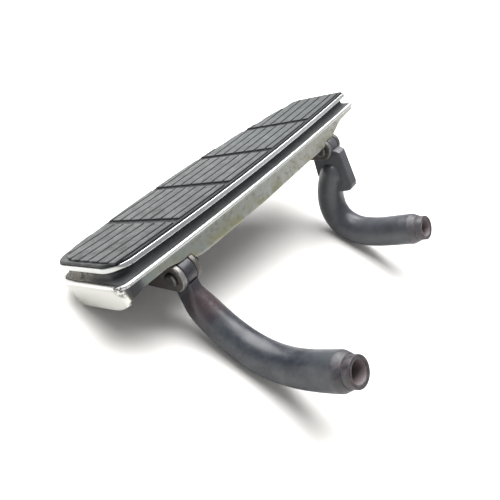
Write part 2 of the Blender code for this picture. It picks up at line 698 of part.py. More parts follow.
def build_bracket(shop, name, hinge_x):
    top = BOSS_BOTTOM - GAP
    bottom = top - FLANGE_THICKNESS
    low_x, high_x = hinge_x - FLANGE_LENGTH / 2, hinge_x + FLANGE_LENGTH / 2
    corners = (
        ((high_x - FLANGE_CORNER, FLANGE_OUTER_Y - FLANGE_CORNER), 0),
        ((low_x + FLANGE_CORNER, FLANGE_OUTER_Y - FLANGE_CORNER), 90),
        ((low_x + FLANGE_CORNER, FLANGE_INNER_Y + FLANGE_CORNER), 180),
        ((high_x - FLANGE_CORNER, FLANGE_INNER_Y + FLANGE_CORNER), 270),
    )
    outline = []
    for centre, start in corners:
        outline += arc(centre, FLANGE_CORNER, math.radians(start), math.radians(start + 90), 4)
    bracket = shop.lofted(f"{name}_bracket", [at_height(outline, bottom), at_height(outline, top)], "paint")
    inner_face = EYE_THICKNESS / 2 + GAP
    for side, low_face in (("back", hinge_x - inner_face - EAR_THICKNESS), ("forward", hinge_x + inner_face)):
        ear = shop.slab(f"{name}_{side}_ear", ear_outline(), low_face, low_face + EAR_THICKNESS)
        combine(bracket, "UNION", ear)
    pin_hole = shop.rods(
        f"{name}_pin_hole",
        [(PIVOT_Y, PIVOT_Z)],
        PIN_RADIUS + PIN_CLEARANCE,
        hinge_x - EYE_THICKNESS - EAR_THICKNESS,
        hinge_x + EYE_THICKNESS + EAR_THICKNESS,
        axis="X",
    )
    combine(bracket, "DIFFERENCE", pin_hole)
    holes = shop.rods(f"{name}_screw_holes", screw_spots(hinge_x), SCREW_RADIUS + GAP, 2 * bottom, 0)
    return combine(bracket, "DIFFERENCE", holes)


def build_bracket_fasteners(shop):
    """Two hexagon screws with lock washers for each bracket, head down."""
    flange_bottom = BOSS_BOTTOM - GAP - FLANGE_THICKNESS
    hole = SCREW_RADIUS + GAP
    thick = LOCK_WASHER_THICKNESS
    profile = [(hole, 0), (LOCK_WASHER_RADIUS, 0), (LOCK_WASHER_RADIUS, -thick), (hole, -thick), (hole, 0)]
    washer = shop.turned("lock_washer", profile, (0, 0, 0), Vector((0, 0, 1)), "steel")
    head_top = flange_bottom - thick - 2 * GAP
    shank_top = BOSS_BOTTOM + SCREW_REACH - head_top
    screw = shop.rods("screw", [(0, 0)], SCREW_HEAD_RADIUS, -SCREW_HEAD_HEIGHT, 0, material="steel", segments=6)
    shank = shop.rods("screw_shank", [(0, 0)], SCREW_RADIUS, -SCREW_HEAD_HEIGHT / 2, shank_top)
    combine(screw, "UNION", shank)
    names = [f"{end}_{place}" for end in ("rear", "front") for place in ("back", "forward")]
    spots = [spot for _, hinge_x in hinge_spots() for spot in screw_spots(hinge_x)]
    copies(shop, washer, [f"lock_washer_{name}" for name in names], [(x, y, flange_bottom - GAP) for x, y in spots])
    copies(shop, screw, [f"bracket_screw_{name}" for name in names], [(x, y, head_top) for x, y in spots])


def build_pin(shop, name, hinge_x):
    """A headed hinge pin with its washer and split cotter."""
    half = EYE_THICKNESS / 2 + GAP + EAR_THICKNESS
    length = 2 * half + 2 * GAP + WASHER_THICKNESS + PIN_TAIL
    edge = 0.2 * PIN_RADIUS
    profile = [
        (0, PIN_HEAD_THICKNESS),
        (PIN_HEAD_RADIUS - 2 * edge, PIN_HEAD_THICKNESS),
        (PIN_HEAD_RADIUS, PIN_HEAD_THICKNESS - edge),
        (PIN_HEAD_RADIUS, 0),
        (PIN_RADIUS, 0),
        (PIN_RADIUS, edge - length),
        (PIN_RADIUS - edge, -length),
        (0, -length),
    ]
    seat = hinge_x - half - GAP
    pin = shop.turned(f"{name}_hinge_pin", profile, (seat, PIVOT_Y, PIVOT_Z), Vector((-1, 0, 0)), "steel")
    washer_x = hinge_x + half + GAP
    cotter_x = washer_x + WASHER_THICKNESS + COTTER_HOLE_DISTANCE
    reach = 2 * PIN_RADIUS
    hole = shop.rods(f"{name}_cotter_hole", [(cotter_x, PIVOT_Y)], COTTER_HOLE_RADIUS, PIVOT_Z - reach, PIVOT_Z + reach)
    combine(pin, "DIFFERENCE", hole)
    inner, outer = PIN_RADIUS + PIN_CLEARANCE, PIN_WASHER_RADIUS
    ring = [(inner, WASHER_THICKNESS), (outer, WASHER_THICKNESS), (outer, 0), (inner, 0), (inner, WASHER_THICKNESS)]
    shop.turned(f"{name}_pin_washer", ring, (washer_x, PIVOT_Y, PIVOT_Z), Vector((1, 0, 0)), "steel")
    build_cotter(shop, name, cotter_x)


def build_cotter(shop, name, x):
    """One wire: up one leg, round the eye and down the other leg, with both tips bent apart."""
    out = PIN_RADIUS
    leg = [
        (6.4 * COTTER_SPREAD, -1.55 * out),
        (3.6 * COTTER_SPREAD, -1.42 * out),
        (1.5 * COTTER_SPREAD, -1.22 * out),
        (COTTER_SPREAD, -0.95 * out),
        (COTTER_SPREAD, 1.05 * out),
    ]
    eye = arc((0, 1.55 * out), 3 * COTTER_SPREAD, math.radians(-50), math.radians(230), 8)
    route = leg + eye + [(-y, z) for y, z in reversed(leg)]
    curve = bpy.data.curves.new(f"{name}_cotter_pin", "CURVE")
    curve.dimensions = "3D"
    curve.bevel_depth = COTTER_WIRE
    curve.bevel_resolution = 1
    curve.use_fill_caps = True
    spline = curve.splines.new("POLY")
    spline.points.add(len(route) - 1)
    for point, (y, z) in zip(spline.points, route):
        point.co = (x, PIVOT_Y + y, PIVOT_Z + z, 1)
    curve.materials.append(shop.materials["steel"])
    cotter = bpy.data.objects.new(f"{name}_cotter_pin", curve)
    cotter.parent = shop.frame
    shop.parts.objects.link(cotter)
    return cotter


def smooth(stations, steps):
    """Points on a Catmull-Rom curve through stations, each a tuple of numbers that change together."""
    result = []
    for i in range(len(stations) - 1):
        before, start, end = stations[max(i - 1, 0)], stations[i], stations[i + 1]
        after = stations[min(i + 2, len(stations) - 1)]
        for k in range(steps):
            t = k / steps
            result.append(
                tuple(
                    0.5 * (2 * b + (c - a) * t + (2 * a - 5 * b + 4 * c - d) * t**2 + (3 * b - a - 3 * c + d) * t**3)
                    for a, b, c, d in zip(before, start, end, after)
                )
            )
    return result + [stations[-1]]


def section_ring(hinge_x, section, tangent):
    """Points of one section of an arm, square to the tangent: from an ellipse to a rounded rectangle."""
    y, z, half_width, half_thickness, roundness = section
    across = (-tangent[1], tangent[0])
    ring = []
    for k in range(BAR_SECTION_POINTS):
        angle = 2 * math.pi * (k + 0.5) / BAR_SECTION_POINTS
        side = math.copysign(abs(math.cos(angle)) ** roundness, math.cos(angle)) * half_thickness
        reach = math.copysign(abs(math.sin(angle)) ** roundness, math.sin(angle)) * half_width
        ring.append((hinge_x + side, y + across[0] * reach, z + across[1] * reach))
    return ring


def unit(start, end):
    length = math.hypot(end[0] - start[0], end[1] - start[1])
    return ((end[0] - start[0]) / length, (end[1] - start[1]) / length)


def arm_rings(hinge_x, sections, end, dome=False):
    """Rings along an arm: its smoothed sections, then the cone and the neck on the end's own axis."""
    path = smooth(sections, 2)
    rings = []
    axis = unit(path[-1], end)
    for i, section in enumerate(path):
        tangent = unit(path[max(i - 1, 0)], path[i + 1]) if i + 1 < len(path) else axis
        rings.append(section_ring(hinge_x, section, tangent))
    if dome:
        tangent = unit(path[0], path[1])
        radius = path[0][2]
        cap = []
        for angle in (math.radians(a) for a in (12, 35, 62)):
            back, size = radius * math.cos(angle), radius * math.sin(angle)
            section = (path[0][0] - tangent[0] * back, path[0][1] - tangent[1] * back, size, size, 1)
            cap.append(section_ring(hinge_x, section, tangent))
        rings = cap + rings
    shoulder = END_CONE_LENGTH + NECK_LENGTH
    for back, radius in (
        (shoulder, BAR_END_RADIUS),
        (shoulder - 2 * NECK_EDGE, BAR_END_RADIUS - NECK_EDGE),
        (NECK_LENGTH, NECK_RADIUS + NECK_EDGE),
        (NECK_LENGTH - NECK_EDGE, NECK_RADIUS),
        (NECK_EDGE, NECK_RADIUS),
        (0, NECK_RADIUS - NECK_EDGE),
    ):
        section = (end[0] - axis[0] * back, end[1] - axis[1] * back, radius, radius, 1)
        rings.append(section_ring(hinge_x, section, axis))
    return rings, axis


def finish_arm(shop, arm, name, hinge_x, end, axis):
    """Bores an arm for its pin and for the stud that holds it to the motorcycle."""
    outward = Vector((0, axis[0], axis[1]))
    bore = [
        (0, BORE_CHAMFER),
        (BORE_RADIUS + 2 * BORE_CHAMFER, BORE_CHAMFER),
        (BORE_RADIUS, -BORE_CHAMFER),
        (BORE_RADIUS, -BORE_DEPTH),
        (0, -BORE_DEPTH - DRILL_POINT),
    ]
    combine(arm, "DIFFERENCE", shop.turned(f"{name}_arm_bore", bore, (hinge_x, *end), outward, segments=ROUND_SEGMENTS))
    eye_hole = shop.rods(
        f"{name}_eye_hole",
        [(PIVOT_Y, PIVOT_Z)],
        PIN_RADIUS + PIN_CLEARANCE,
        hinge_x - EYE_THICKNESS,
        hinge_x + EYE_THICKNESS,
        axis="X",
    )
    return combine(arm, "DIFFERENCE", eye_hole)


def eye_and_heel(shop, name, hinge_x):
    """The eye round the pin, and the heel that stops the board level under the bracket's flange."""
    ends = (hinge_x - EYE_THICKNESS / 2, hinge_x + EYE_THICKNESS / 2)
    eye = shop.rods(f"{name}_eye", [(PIVOT_Y, PIVOT_Z)], EYE_RADIUS, *ends, axis="X", segments=48)
    top = BOSS_BOTTOM - FLANGE_THICKNESS - 2 * GAP
    tip = PIVOT_Y + HEEL_REACH
    outline = [
        (PIVOT_Y, top),
        (tip, top),
        (tip, top - HEEL_DEPTH),
        (PIVOT_Y + EYE_RADIUS * 0.85, PIVOT_Z - EYE_RADIUS),
        (PIVOT_Y, PIVOT_Z - EYE_RADIUS * 0.8),
    ]
    return eye, shop.slab(f"{name}_heel", outline, *ends)


def build_rear_arm(shop):
    rings, axis = arm_rings(REAR_HINGE_X, REAR_ARM_SECTIONS, REAR_ARM_END)
    arm = shop.lofted("rear_arm", rings, "paint", 40)
    for tool in eye_and_heel(shop, "rear", REAR_HINGE_X):
        combine(arm, "UNION", tool)
    return finish_arm(shop, arm, "rear", REAR_HINGE_X, REAR_ARM_END, axis)


def front_blade_outline():
    """Side view of the front arm's broad blade, from the eye round its inner shoulder and foot."""
    drop = math.asin((FRONT_BLADE_SHOULDER_Z - PIVOT_Z) / EYE_RADIUS)
    corner = 3 * MM
    foot = 6.5 * MM
    neck = (PIVOT_Y - EYE_RADIUS * math.cos(drop), FRONT_BLADE_SHOULDER_Z)
    shoulder = arc(
        (FRONT_BLADE_INNER_Y + corner, FRONT_BLADE_SHOULDER_Z - corner), corner, math.pi / 2, math.pi, 4
    )
    heel = arc((FRONT_BLADE_FOOT_Y + foot, FRONT_BLADE_FOOT_Z), foot, math.pi, 1.5 * math.pi, 5)
    first = FRONT_ARM_SECTIONS[0]
    return (
        [(PIVOT_Y, PIVOT_Z), neck]
        + shoulder
        + heel
        + [
            (first[0] + foot, FRONT_BLADE_BOTTOM_Z),
            (FRONT_BLADE_OUTER_Y, first[1]),
            (FRONT_BLADE_OUTER_Y - corner / 4, PIVOT_Z - EYE_RADIUS),
            (PIVOT_Y + EYE_RADIUS, PIVOT_Z),
        ]
    )


def build_front_arm(shop):
    rings, axis = arm_rings(FRONT_HINGE_X, FRONT_ARM_SECTIONS, FRONT_ARM_END, dome=True)
    arm = shop.lofted("front_arm", rings, "paint", 40)
    ends = (FRONT_HINGE_X - EYE_THICKNESS / 2, FRONT_HINGE_X + EYE_THICKNESS / 2)
    combine(arm, "UNION", shop.slab("front_blade", front_blade_outline(), *ends, bevel=FRONT_BLADE_EDGE))
    for tool in eye_and_heel(shop, "front", FRONT_HINGE_X):
        combine(arm, "UNION", tool)
    return finish_arm(shop, arm, "front", FRONT_HINGE_X, FRONT_ARM_END, axis)


def main():
    clear_scene()
    shop = Workshop(Vector((REAR_HINGE_X, *REAR_ARM_END)))
    build_tread_pad(shop)
    build_tread_plate(shop)
    build_damper_mat(shop)
    build_base_board(shop)
    build_plate_fasteners(shop)
    for name, hinge_x in hinge_spots():
        build_bracket(shop, name, hinge_x)
        build_pin(shop, name, hinge_x)
    build_bracket_fasteners(shop)
    build_front_arm(shop)
    for obj in shop.parts.objects:
        if obj.type != "EMPTY":
            obj.parent = shop.pivot
            obj.location -= shop.pivot.location
    build_rear_arm(shop)


main()
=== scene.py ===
"""Dresses a worn folding motorcycle floorboard that lies on a white table.

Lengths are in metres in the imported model's frame: X runs along the board to its front end, Y outwards, Z up.
The board's own plan frame, in which its outlines are written, is the same frame moved by BOARD_TO_MODEL.
"""

import json
import logging
import math
from dataclasses import dataclass, field
from enum import Enum

import bpy
import numpy as np
from mathutils import Matrix, Vector


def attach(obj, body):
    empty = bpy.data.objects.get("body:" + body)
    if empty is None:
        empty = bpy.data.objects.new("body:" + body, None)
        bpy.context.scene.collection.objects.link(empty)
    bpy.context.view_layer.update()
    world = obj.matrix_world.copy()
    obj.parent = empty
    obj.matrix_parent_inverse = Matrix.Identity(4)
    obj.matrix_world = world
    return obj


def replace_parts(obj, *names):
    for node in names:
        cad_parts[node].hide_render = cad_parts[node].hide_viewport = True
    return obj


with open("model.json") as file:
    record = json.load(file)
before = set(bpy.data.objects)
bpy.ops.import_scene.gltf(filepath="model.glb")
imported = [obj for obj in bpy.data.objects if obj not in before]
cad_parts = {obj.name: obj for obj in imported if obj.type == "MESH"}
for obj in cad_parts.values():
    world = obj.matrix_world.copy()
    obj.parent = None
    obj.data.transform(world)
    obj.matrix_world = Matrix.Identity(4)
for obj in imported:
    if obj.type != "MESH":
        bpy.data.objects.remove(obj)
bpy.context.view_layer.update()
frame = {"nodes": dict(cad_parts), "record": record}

LOG = logging.getLogger("floorboard")
MM = 0.001
BOARD_TO_MODEL = np.array([-53.0, 127.0, 111.9]) * MM
GAP = 0.3 * MM
REAR_HINGE = 53 * MM
FRONT_HINGE = 277 * MM
PIVOT = (4 * MM, -38.5 * MM)
PIN_HOLE = 5 * MM
DECK_TOP = -16.5 * MM
BEAD_WIDTH = 3.6 * MM
UP = np.array([0, 0, 1.0])
QUARTER = 0.5 * math.pi
MARK = "bright"
CAP_MARK = 0.6
BORE_MARK = 1.5

Pair = tuple[float, float]
Point = tuple[float, float, float]
Colour = tuple[float, float, float]
Array = np.ndarray
Socket = bpy.types.NodeSocket


class Body(Enum):
    """The rigid bodies that pieces ride on."""

    BOARD = "board"
    REAR_ARM = "rear_arm_body"
    FRONT_ARM = "front_arm_body"


class Slot(Enum):
    """The record's material slots."""

    TREAD = "tread_rubber"
    DAMPER = "damper_rubber"
    PLATING = "plated_steel"
    CASTING = "cast_aluminium"
    PAINT = "worn_black_paint"
    STEEL = "plain_steel"


def linear(code: str) -> Colour:
    """Turns a hexadecimal screen colour into linear light.

    Args:
        code: six hexadecimal digits, two for each of red, green and blue.

    Returns:
        The three linear values between 0 and 1.
    """
    screen = [int(code[i : i + 2], 16) / 255 for i in (0, 2, 4)]
    return tuple(v / 12.92 if v <= 0.04045 else ((v + 0.055) / 1.055) ** 2.4 for v in screen)


def arc(centre: Pair, radius: float, start: float, end: float, count: int) -> Array:
    """Points on a circle: centre plus radius times the cosine and sine of evenly spaced angles.

    Args:
        centre: the circle's centre.
        radius: its radius.
        start: the first angle in radians.
        end: the last angle in radians.
        count: number of steps; there is one point more.

    Returns:
        An array of count + 1 pairs.
    """
    angles = np.linspace(start, end, count + 1)
    return np.column_stack((centre[0] + radius * np.cos(angles), centre[1] + radius * np.sin(angles)))


@dataclass(frozen=True)
class Margin:
    """How far an outline lies outside the tread's own outline on each of its four sides."""

    inner: float
    rear: float
    front: float
    outer: float
    corner: float = 18 * MM
    far_corner: float = 18 * MM

    @classmethod
    def even(cls, offset: float) -> "Margin":
        """The same distance on every side."""
        return cls(offset, offset, offset, offset)


@dataclass(frozen=True)
class BoardPlan:
    """Plan of the board: a straight inner edge, a slanted rear end and two arcs along the outer edge."""

    length: float = 330 * MM
    width: float = 100.5 * MM
    widest_at: float = 150 * MM
    rear_radius: float = 590 * MM
    front_radius: float = 420 * MM
    slant: float = 0.05
    outer_front_corner: float = 6 * MM
    inner_front_corner: float = 3 * MM
    least_corner: float = 1.5 * MM
    dip_depth: float = 3.88 * MM
    bead_crown: float = 1.1 * MM
    counts: tuple[int, ...] = (110, 8, 8, 8, 48, 44, 22, 12, 20)
    closing_shares: tuple[float, ...] = (0.9, 0.75, 0.55, 0.35, 0.15)

    def dip(self, x: Array) -> Array:
        """Depth of the board's surface below its ends: a parabola with its lowest point halfway along."""
        return self.dip_depth * ((2 * np.asarray(x) / self.length - 1) ** 2 - 1)

    def crown(self, x: Array) -> Array:
        """How much less the bead dips than the deck: the same parabola, upside down and shallower."""
        return -self.bead_crown / self.dip_depth * self.dip(x)

    def outline(self, margin: Margin) -> Array:
        """The closed outline as straight runs joined by tangent arcs, moved outwards by the margin.

        Args:
            margin: distance outside the tread's outline on each side.

        Returns:
            Pairs of X and Y, anticlockwise from the inner rear corner; every margin gives the same count.
        """
        n = self.counts
        inner_rear_r = max(margin.corner + min(margin.inner, margin.rear), self.least_corner)
        outer_rear_r = max(margin.far_corner + min(margin.outer, margin.rear), self.least_corner)
        outer_front_r = max(self.outer_front_corner + min(margin.outer, margin.front), self.least_corner)
        inner_front_r = max(self.inner_front_corner + min(margin.inner, margin.front), self.least_corner)
        stretch = math.hypot(1, self.slant)
        rear_centre = (self.widest_at, self.width - self.rear_radius)
        front_centre = (self.widest_at, self.width - self.front_radius)
        facing = math.atan2(self.slant, -1)

        def beside_rear(y: float, distance: float) -> float:
            return -margin.rear + self.slant * y + distance * stretch

        def on_arc(centre: Pair, reach: float, x: float) -> float:
            return centre[1] + math.sqrt(reach**2 - (x - centre[0]) ** 2)

        y0 = inner_rear_r - margin.inner
        inner_rear = (beside_rear(y0, inner_rear_r), y0)
        inner_front = (self.length + margin.front - inner_front_r, inner_front_r - margin.inner)
        x1 = self.length + margin.front - outer_front_r
        outer_front = (x1, on_arc(front_centre, self.front_radius + margin.outer - outer_front_r, x1))
        y2 = self.width
        for _ in range(20):
            x2 = beside_rear(y2, outer_rear_r)
            y2 = on_arc(rear_centre, self.rear_radius + margin.outer - outer_rear_r, x2)
        outer_rear = (x2, y2)
        front_turn = math.atan2(outer_front[1] - front_centre[1], outer_front[0] - front_centre[0])
        rear_turn = math.atan2(outer_rear[1] - rear_centre[1], outer_rear[0] - rear_centre[0])

        inner_x = np.linspace(inner_rear[0], inner_front[0], n[0] + 1)[:-1]
        inner_run = np.column_stack((inner_x, np.full(n[0], -margin.inner)))
        front_y = np.linspace(inner_front[1], outer_front[1], n[2] + 2)[1:-1]
        front_run = np.column_stack((np.full(n[2], self.length + margin.front), front_y))
        outer_end = arc(outer_rear, outer_rear_r, rear_turn, facing, n[6])
        inner_end = arc(inner_rear, inner_rear_r, facing, 1.5 * math.pi, n[8])
        rear_run = np.linspace(outer_end[-1], inner_end[0], n[7] + 2)[1:-1]
        return np.concatenate(
            (
                inner_run,
                arc(inner_front, inner_front_r, -math.pi / 2, 0, n[1]),
                front_run,
                arc(outer_front, outer_front_r, 0, front_turn, n[3]),
                arc(front_centre, self.front_radius + margin.outer, front_turn, math.pi / 2, n[4])[1:-1],
                arc(rear_centre, self.rear_radius + margin.outer, math.pi / 2, rear_turn, n[5])[:-1],
                outer_end,
                rear_run,
                inner_end[:-1],
            )
        )

    def labels(self) -> Array:
        """Which of the nine runs each point of an outline belongs to, counted from the inner run."""
        n = self.counts
        sizes = (n[0], n[1] + 1, n[2], n[3] + 1, n[4] - 1, n[5], n[6] + 1, n[7], n[8])
        return np.repeat(np.arange(len(sizes)), sizes)

    def ring(self, margin: Margin, height: Array | float, crowned: bool = False) -> Array:
        """An outline lifted to a height above or below the ends, with the dip added.

        Args:
            margin: distance outside the tread's outline.
            height: one height, or one for each point.
            crowned: whether the ring dips as little as the bead.

        Returns:
            Points in the model's frame.
        """
        plan = self.outline(margin)
        z = np.broadcast_to(height, len(plan)) + self.dip(plan[:, 0])
        if crowned:
            z = z + self.crown(plan[:, 0])
        return np.column_stack((plan, z)) + BOARD_TO_MODEL

    def closing_rings(self, margin: Margin, height: float) -> tuple[list[Array], Array]:
        """Rings that shrink an outline to a point, so that they close a body with a dipped face.

        Args:
            margin: distance outside the tread's outline.
            height: height of the face above or below the ends.

        Returns:
            The rings and the point in their middle.
        """
        plan = self.outline(margin)
        middle = np.array([0.5 * self.length, 0.45 * self.width])
        rings = []
        for share in (*self.closing_shares, 0):
            points = middle + share * (plan - middle)
            z = height + self.dip(points[:, 0])
            rings.append(np.column_stack((points, z)) + BOARD_TO_MODEL)
        return rings[:-1], rings[-1][0]


PLAN = BoardPlan()


def looks_inwards(points: Array, faces: list[Array]) -> bool:
    """Whether a closed shell's faces look inwards: then its triangles' triple products sum to less than 0."""
    total = 0.0
    for block in faces:
        for k in range(1, block.shape[1] - 1):
            a, b, c = points[block[:, 0]], points[block[:, k]], points[block[:, k + 1]]
            total += float(np.einsum("ij,ij->i", a, np.cross(b, c)).sum())
    return total < 0


def finish_mesh(name: str, points: Array, faces: list[Array], sharp_over: float) -> bpy.types.Object:
    """Makes an object from points and faces.

    Args:
        name: the object's name.
        points: all points of one or more closed shells.
        faces: index arrays with three or four columns.
        sharp_over: angle in degrees above which an edge stays crisp.

    Returns:
        The object, at the origin and smooth shaded.
    """
    mesh = bpy.data.meshes.new(name)
    corners = np.concatenate([block.ravel() for block in faces]).astype(np.int32)
    sizes = np.concatenate([np.full(len(block), block.shape[1]) for block in faces])
    starts = np.concatenate(([0], np.cumsum(sizes)[:-1])).astype(np.int32)
    mesh.vertices.add(len(points))
    mesh.vertices.foreach_set("co", np.ascontiguousarray(points, np.float32).ravel())
    mesh.loops.add(len(corners))
    mesh.loops.foreach_set("vertex_index", corners)
    mesh.polygons.add(len(starts))
    mesh.polygons.foreach_set("loop_start", starts)
    mesh.update(calc_edges=True)
    mesh.shade_smooth()
    mesh.set_sharp_from_angle(angle=math.radians(sharp_over))
    obj = bpy.data.objects.new(name, mesh)
    bpy.context.scene.collection.objects.link(obj)
    return obj


@dataclass
class Shells:
    """Collects closed shells of one piece as point and face arrays."""

    points: list[Array] = field(default_factory=list)
    faces: list[Array] = field(default_factory=list)
    marks: list[Array] = field(default_factory=list)
    count: int = 0

    def add(self, points: Array, faces: list[Array], marks: Array | None = None) -> None:
        """Adds one shell, turned outwards on its own.

        Args:
            points: the shell's points.
            faces: index arrays that count from the shell's first point.
            marks: a value for each point, kept for the finish.
        """
        turned = looks_inwards(points, faces)
        for block in faces:
            self.faces.append((block[:, ::-1] if turned else block) + self.count)
        self.points.append(points)
        self.marks.append(np.zeros(len(points)) if marks is None else marks)
        self.count += len(points)

    def add_rings(
        self, rings: Array, start: Array | None, end: Array | None, marks: Array | None = None
    ) -> None:
        """Adds a surface through closed rings, point i of a ring joined to point i of the next.

        Args:
            rings: an array of rings, points and coordinates.
            start: a point that closes the first ring, or None where the last ring joins the first.
            end: a point that closes the last ring.
            marks: one value for each ring.
        """
        rows, columns = rings.shape[:2]
        index = np.arange(rows * columns).reshape(rows, columns)
        if start is None:
            index = np.vstack((index, index[:1]))
        beside = np.roll(index, -1, axis=1)
        quads = np.stack((index[:-1], beside[:-1], beside[1:], index[1:]), axis=-1).reshape(-1, 4)
        points = rings.reshape(-1, 3)
        values = np.zeros(rows) if marks is None else np.asarray(marks, float)
        values = np.repeat(values, columns)
        faces = [quads]
        if start is not None:
            first, last = len(points), len(points) + 1
            points = np.vstack((points, start, end))
            values = np.append(values, (values[0], values[-1]))
            low = np.stack((beside[0], index[0], np.full(columns, first)), axis=-1)
            high = np.stack((index[-1], beside[-1], np.full(columns, last)), axis=-1)
            faces.append(np.vstack((low, high)))
        self.add(points, faces, values)

    def piece(
        self, name: str, slot: Slot, body: Body, finish: bpy.types.Material, sharp_over: float = 35
    ) -> bpy.types.Object:
        """Makes the piece, gives it its finish and lets it ride on its body.

        Args:
            name: the piece's name.
            slot: the record's slot for its finish; not used.
            body: the body it rides on.
            finish: the finish itself.
            sharp_over: angle in degrees above which an edge stays crisp.

        Returns:
            The finished object.
        """
        obj = finish_mesh(name, np.concatenate(self.points), self.faces, sharp_over)
        obj.data.materials.append(finish)
        layer = obj.data.attributes.new(MARK, "FLOAT", "POINT")
        layer.data.foreach_set("value", np.concatenate(self.marks).astype(np.float32))
        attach(obj, body.value)
        LOG.info("%s: %d faces on %s", name, len(obj.data.polygons), body.value)
        return obj


def add_turned(shells: Shells, profile: Array, foot: Array, count: int) -> None:
    """Adds an upright turned body: each profile point goes round the upright through the foot.

    Args:
        shells: the shells of the piece that it belongs to.
        profile: pairs of radius and height above the foot.
        foot: the point on the axis at height 0.
        count: points in a ring.
    """
    angles = np.linspace(0, 2 * np.pi, count, endpoint=False)
    spoke = np.column_stack((-np.sin(angles), np.cos(angles), np.zeros(count)))
    rings = foot + profile[:, None, :1] * spoke + profile[:, None, 1:] * UP
    shells.add_rings(rings, foot + UP * profile[0, 1], foot + UP * profile[-1, 1])


class NodePen:
    """Draws nodes into one node tree and links them."""

    def __init__(self, tree: bpy.types.NodeTree) -> None:
        """Keeps the tree.

        Args:
            tree: the tree to draw in.
        """
        self.tree = tree
        self.column = 0

    def node(
        self, kind: str, inputs: dict[str | int, object] | None = None, **settings: object
    ) -> bpy.types.Node:
        """Adds a node, sets its options and fills or links its inputs.

        Args:
            kind: the node's type name.
            inputs: values or output sockets, keyed by input name or number.
            **settings: options of the node itself.

        Returns:
            The node.
        """
        node = self.tree.nodes.new(kind)
        node.location = (self.column * 180, 0)
        self.column += 1
        for key, value in settings.items():
            setattr(node, key, value)
        for key, value in (inputs or {}).items():
            socket = node.inputs[key]
            if isinstance(value, bpy.types.NodeSocket):
                self.tree.links.new(value, socket)
            else:
                socket.default_value = value
        return node

    def math(self, kind: str, a: object, b: object = 0.0, c: object = 0.0, clamp: bool = False) -> Socket:
        """Result of a Math node."""
        return self.node("ShaderNodeMath", {0: a, 1: b, 2: c}, operation=kind, use_clamp=clamp).outputs[0]

    def ramp(self, value: object, low: object, high: object, start: float = 0, end: float = 1) -> Socket:
        """A smooth change from start to end while the value goes from low to high."""
        inputs = {"Value": value, "From Min": low, "From Max": high, "To Min": start, "To Max": end}
        return self.node("ShaderNodeMapRange", inputs, interpolation_type="SMOOTHSTEP").outputs["Result"]

    def between(self, share: object, a: object, b: object) -> Socket:
        """Mixes two values by a share."""
        return self.node("ShaderNodeMix", {0: share, 2: a, 3: b}).outputs[0]

    def mix(self, share: object, a: object, b: object) -> Socket:
        """Mixes two colours by a share."""
        a, b = ((*colour, 1) if isinstance(colour, tuple) else colour for colour in (a, b))
        return self.node("ShaderNodeMix", {0: share, 6: a, 7: b}, data_type="RGBA").outputs[2]

    def noise(self, vector: object, scale: object, detail: float, rough: float = 0.55) -> Socket:
        """Value of a noise texture."""
        inputs = {"Vector": vector, "Scale": scale, "Detail": detail, "Roughness": rough}
        return self.node("ShaderNodeTexNoise", inputs).outputs["Fac"]


def new_group(name: str, ins: dict[str, tuple[str, object]], outs: dict[str, str]) -> bpy.types.NodeTree:
    """Starts a shader node group with named sockets.

    Args:
        name: the group's name.
        ins: input names with their socket types and first values.
        outs: output names with their socket types.

    Returns:
        The group's tree.
    """
    tree = bpy.data.node_groups.new(name, "ShaderNodeTree")
    for label, (kind, value) in ins.items():
        socket = tree.interface.new_socket(label, in_out="INPUT", socket_type=kind)
        if value is not None:
            socket.default_value = value
    for label, kind in outs.items():
        tree.interface.new_socket(label, in_out="OUTPUT", socket_type=kind)
    return tree


FLOAT = "NodeSocketFloat"
COLOUR = "NodeSocketColor"
VECTOR = "NodeSocketVector"


def blotch_group() -> bpy.types.NodeTree:
    """Irregular blotches: broad noise broken by finer noise, cut at a level with a soft edge."""
    ins = {
        "Vector": (VECTOR, None),
        "Scale": (FLOAT, 40.0),
        "Level": (FLOAT, 0.55),
        "Softness": (FLOAT, 0.06),
    }
    tree = new_group("blotches", ins, {"Mask": FLOAT})
    pen = NodePen(tree)
    source = pen.node("NodeGroupInput").outputs
    broad = pen.noise(source["Vector"], source["Scale"], 3)
    fine = pen.noise(source["Vector"], pen.math("MULTIPLY", source["Scale"], 5.3), 5, 0.7)
    both = pen.math("ADD", pen.math("MULTIPLY", broad, 0.72), pen.math("MULTIPLY", fine, 0.28))
    low = pen.math("SUBTRACT", source["Level"], source["Softness"])
    high = pen.math("ADD", source["Level"], source["Softness"])
    pen.node("NodeGroupOutput", {"Mask": pen.ramp(both, low, high)})
    return tree


def grain_group() -> bpy.types.NodeTree:
    """Fine surface grain as a height: rounded lumps with small pits between them."""
    ins = {"Vector": (VECTOR, None), "Scale": (FLOAT, 900.0), "Pits": (FLOAT, 0.4)}
    tree = new_group("grain", ins, {"Height": FLOAT})
    pen = NodePen(tree)
    source = pen.node("NodeGroupInput").outputs
    lumps = pen.noise(source["Vector"], source["Scale"], 3, 0.5)
    inputs = {"Vector": source["Vector"], "Scale": pen.math("MULTIPLY", source["Scale"], 0.45)}
    cells = pen.node("ShaderNodeTexVoronoi", inputs)
    holes = pen.ramp(cells.outputs["Distance"], 0.0, 0.28, 1, 0)
    height = pen.math("SUBTRACT", lumps, pen.math("MULTIPLY", holes, source["Pits"]))
    pen.node("NodeGroupOutput", {"Height": height})
    return tree


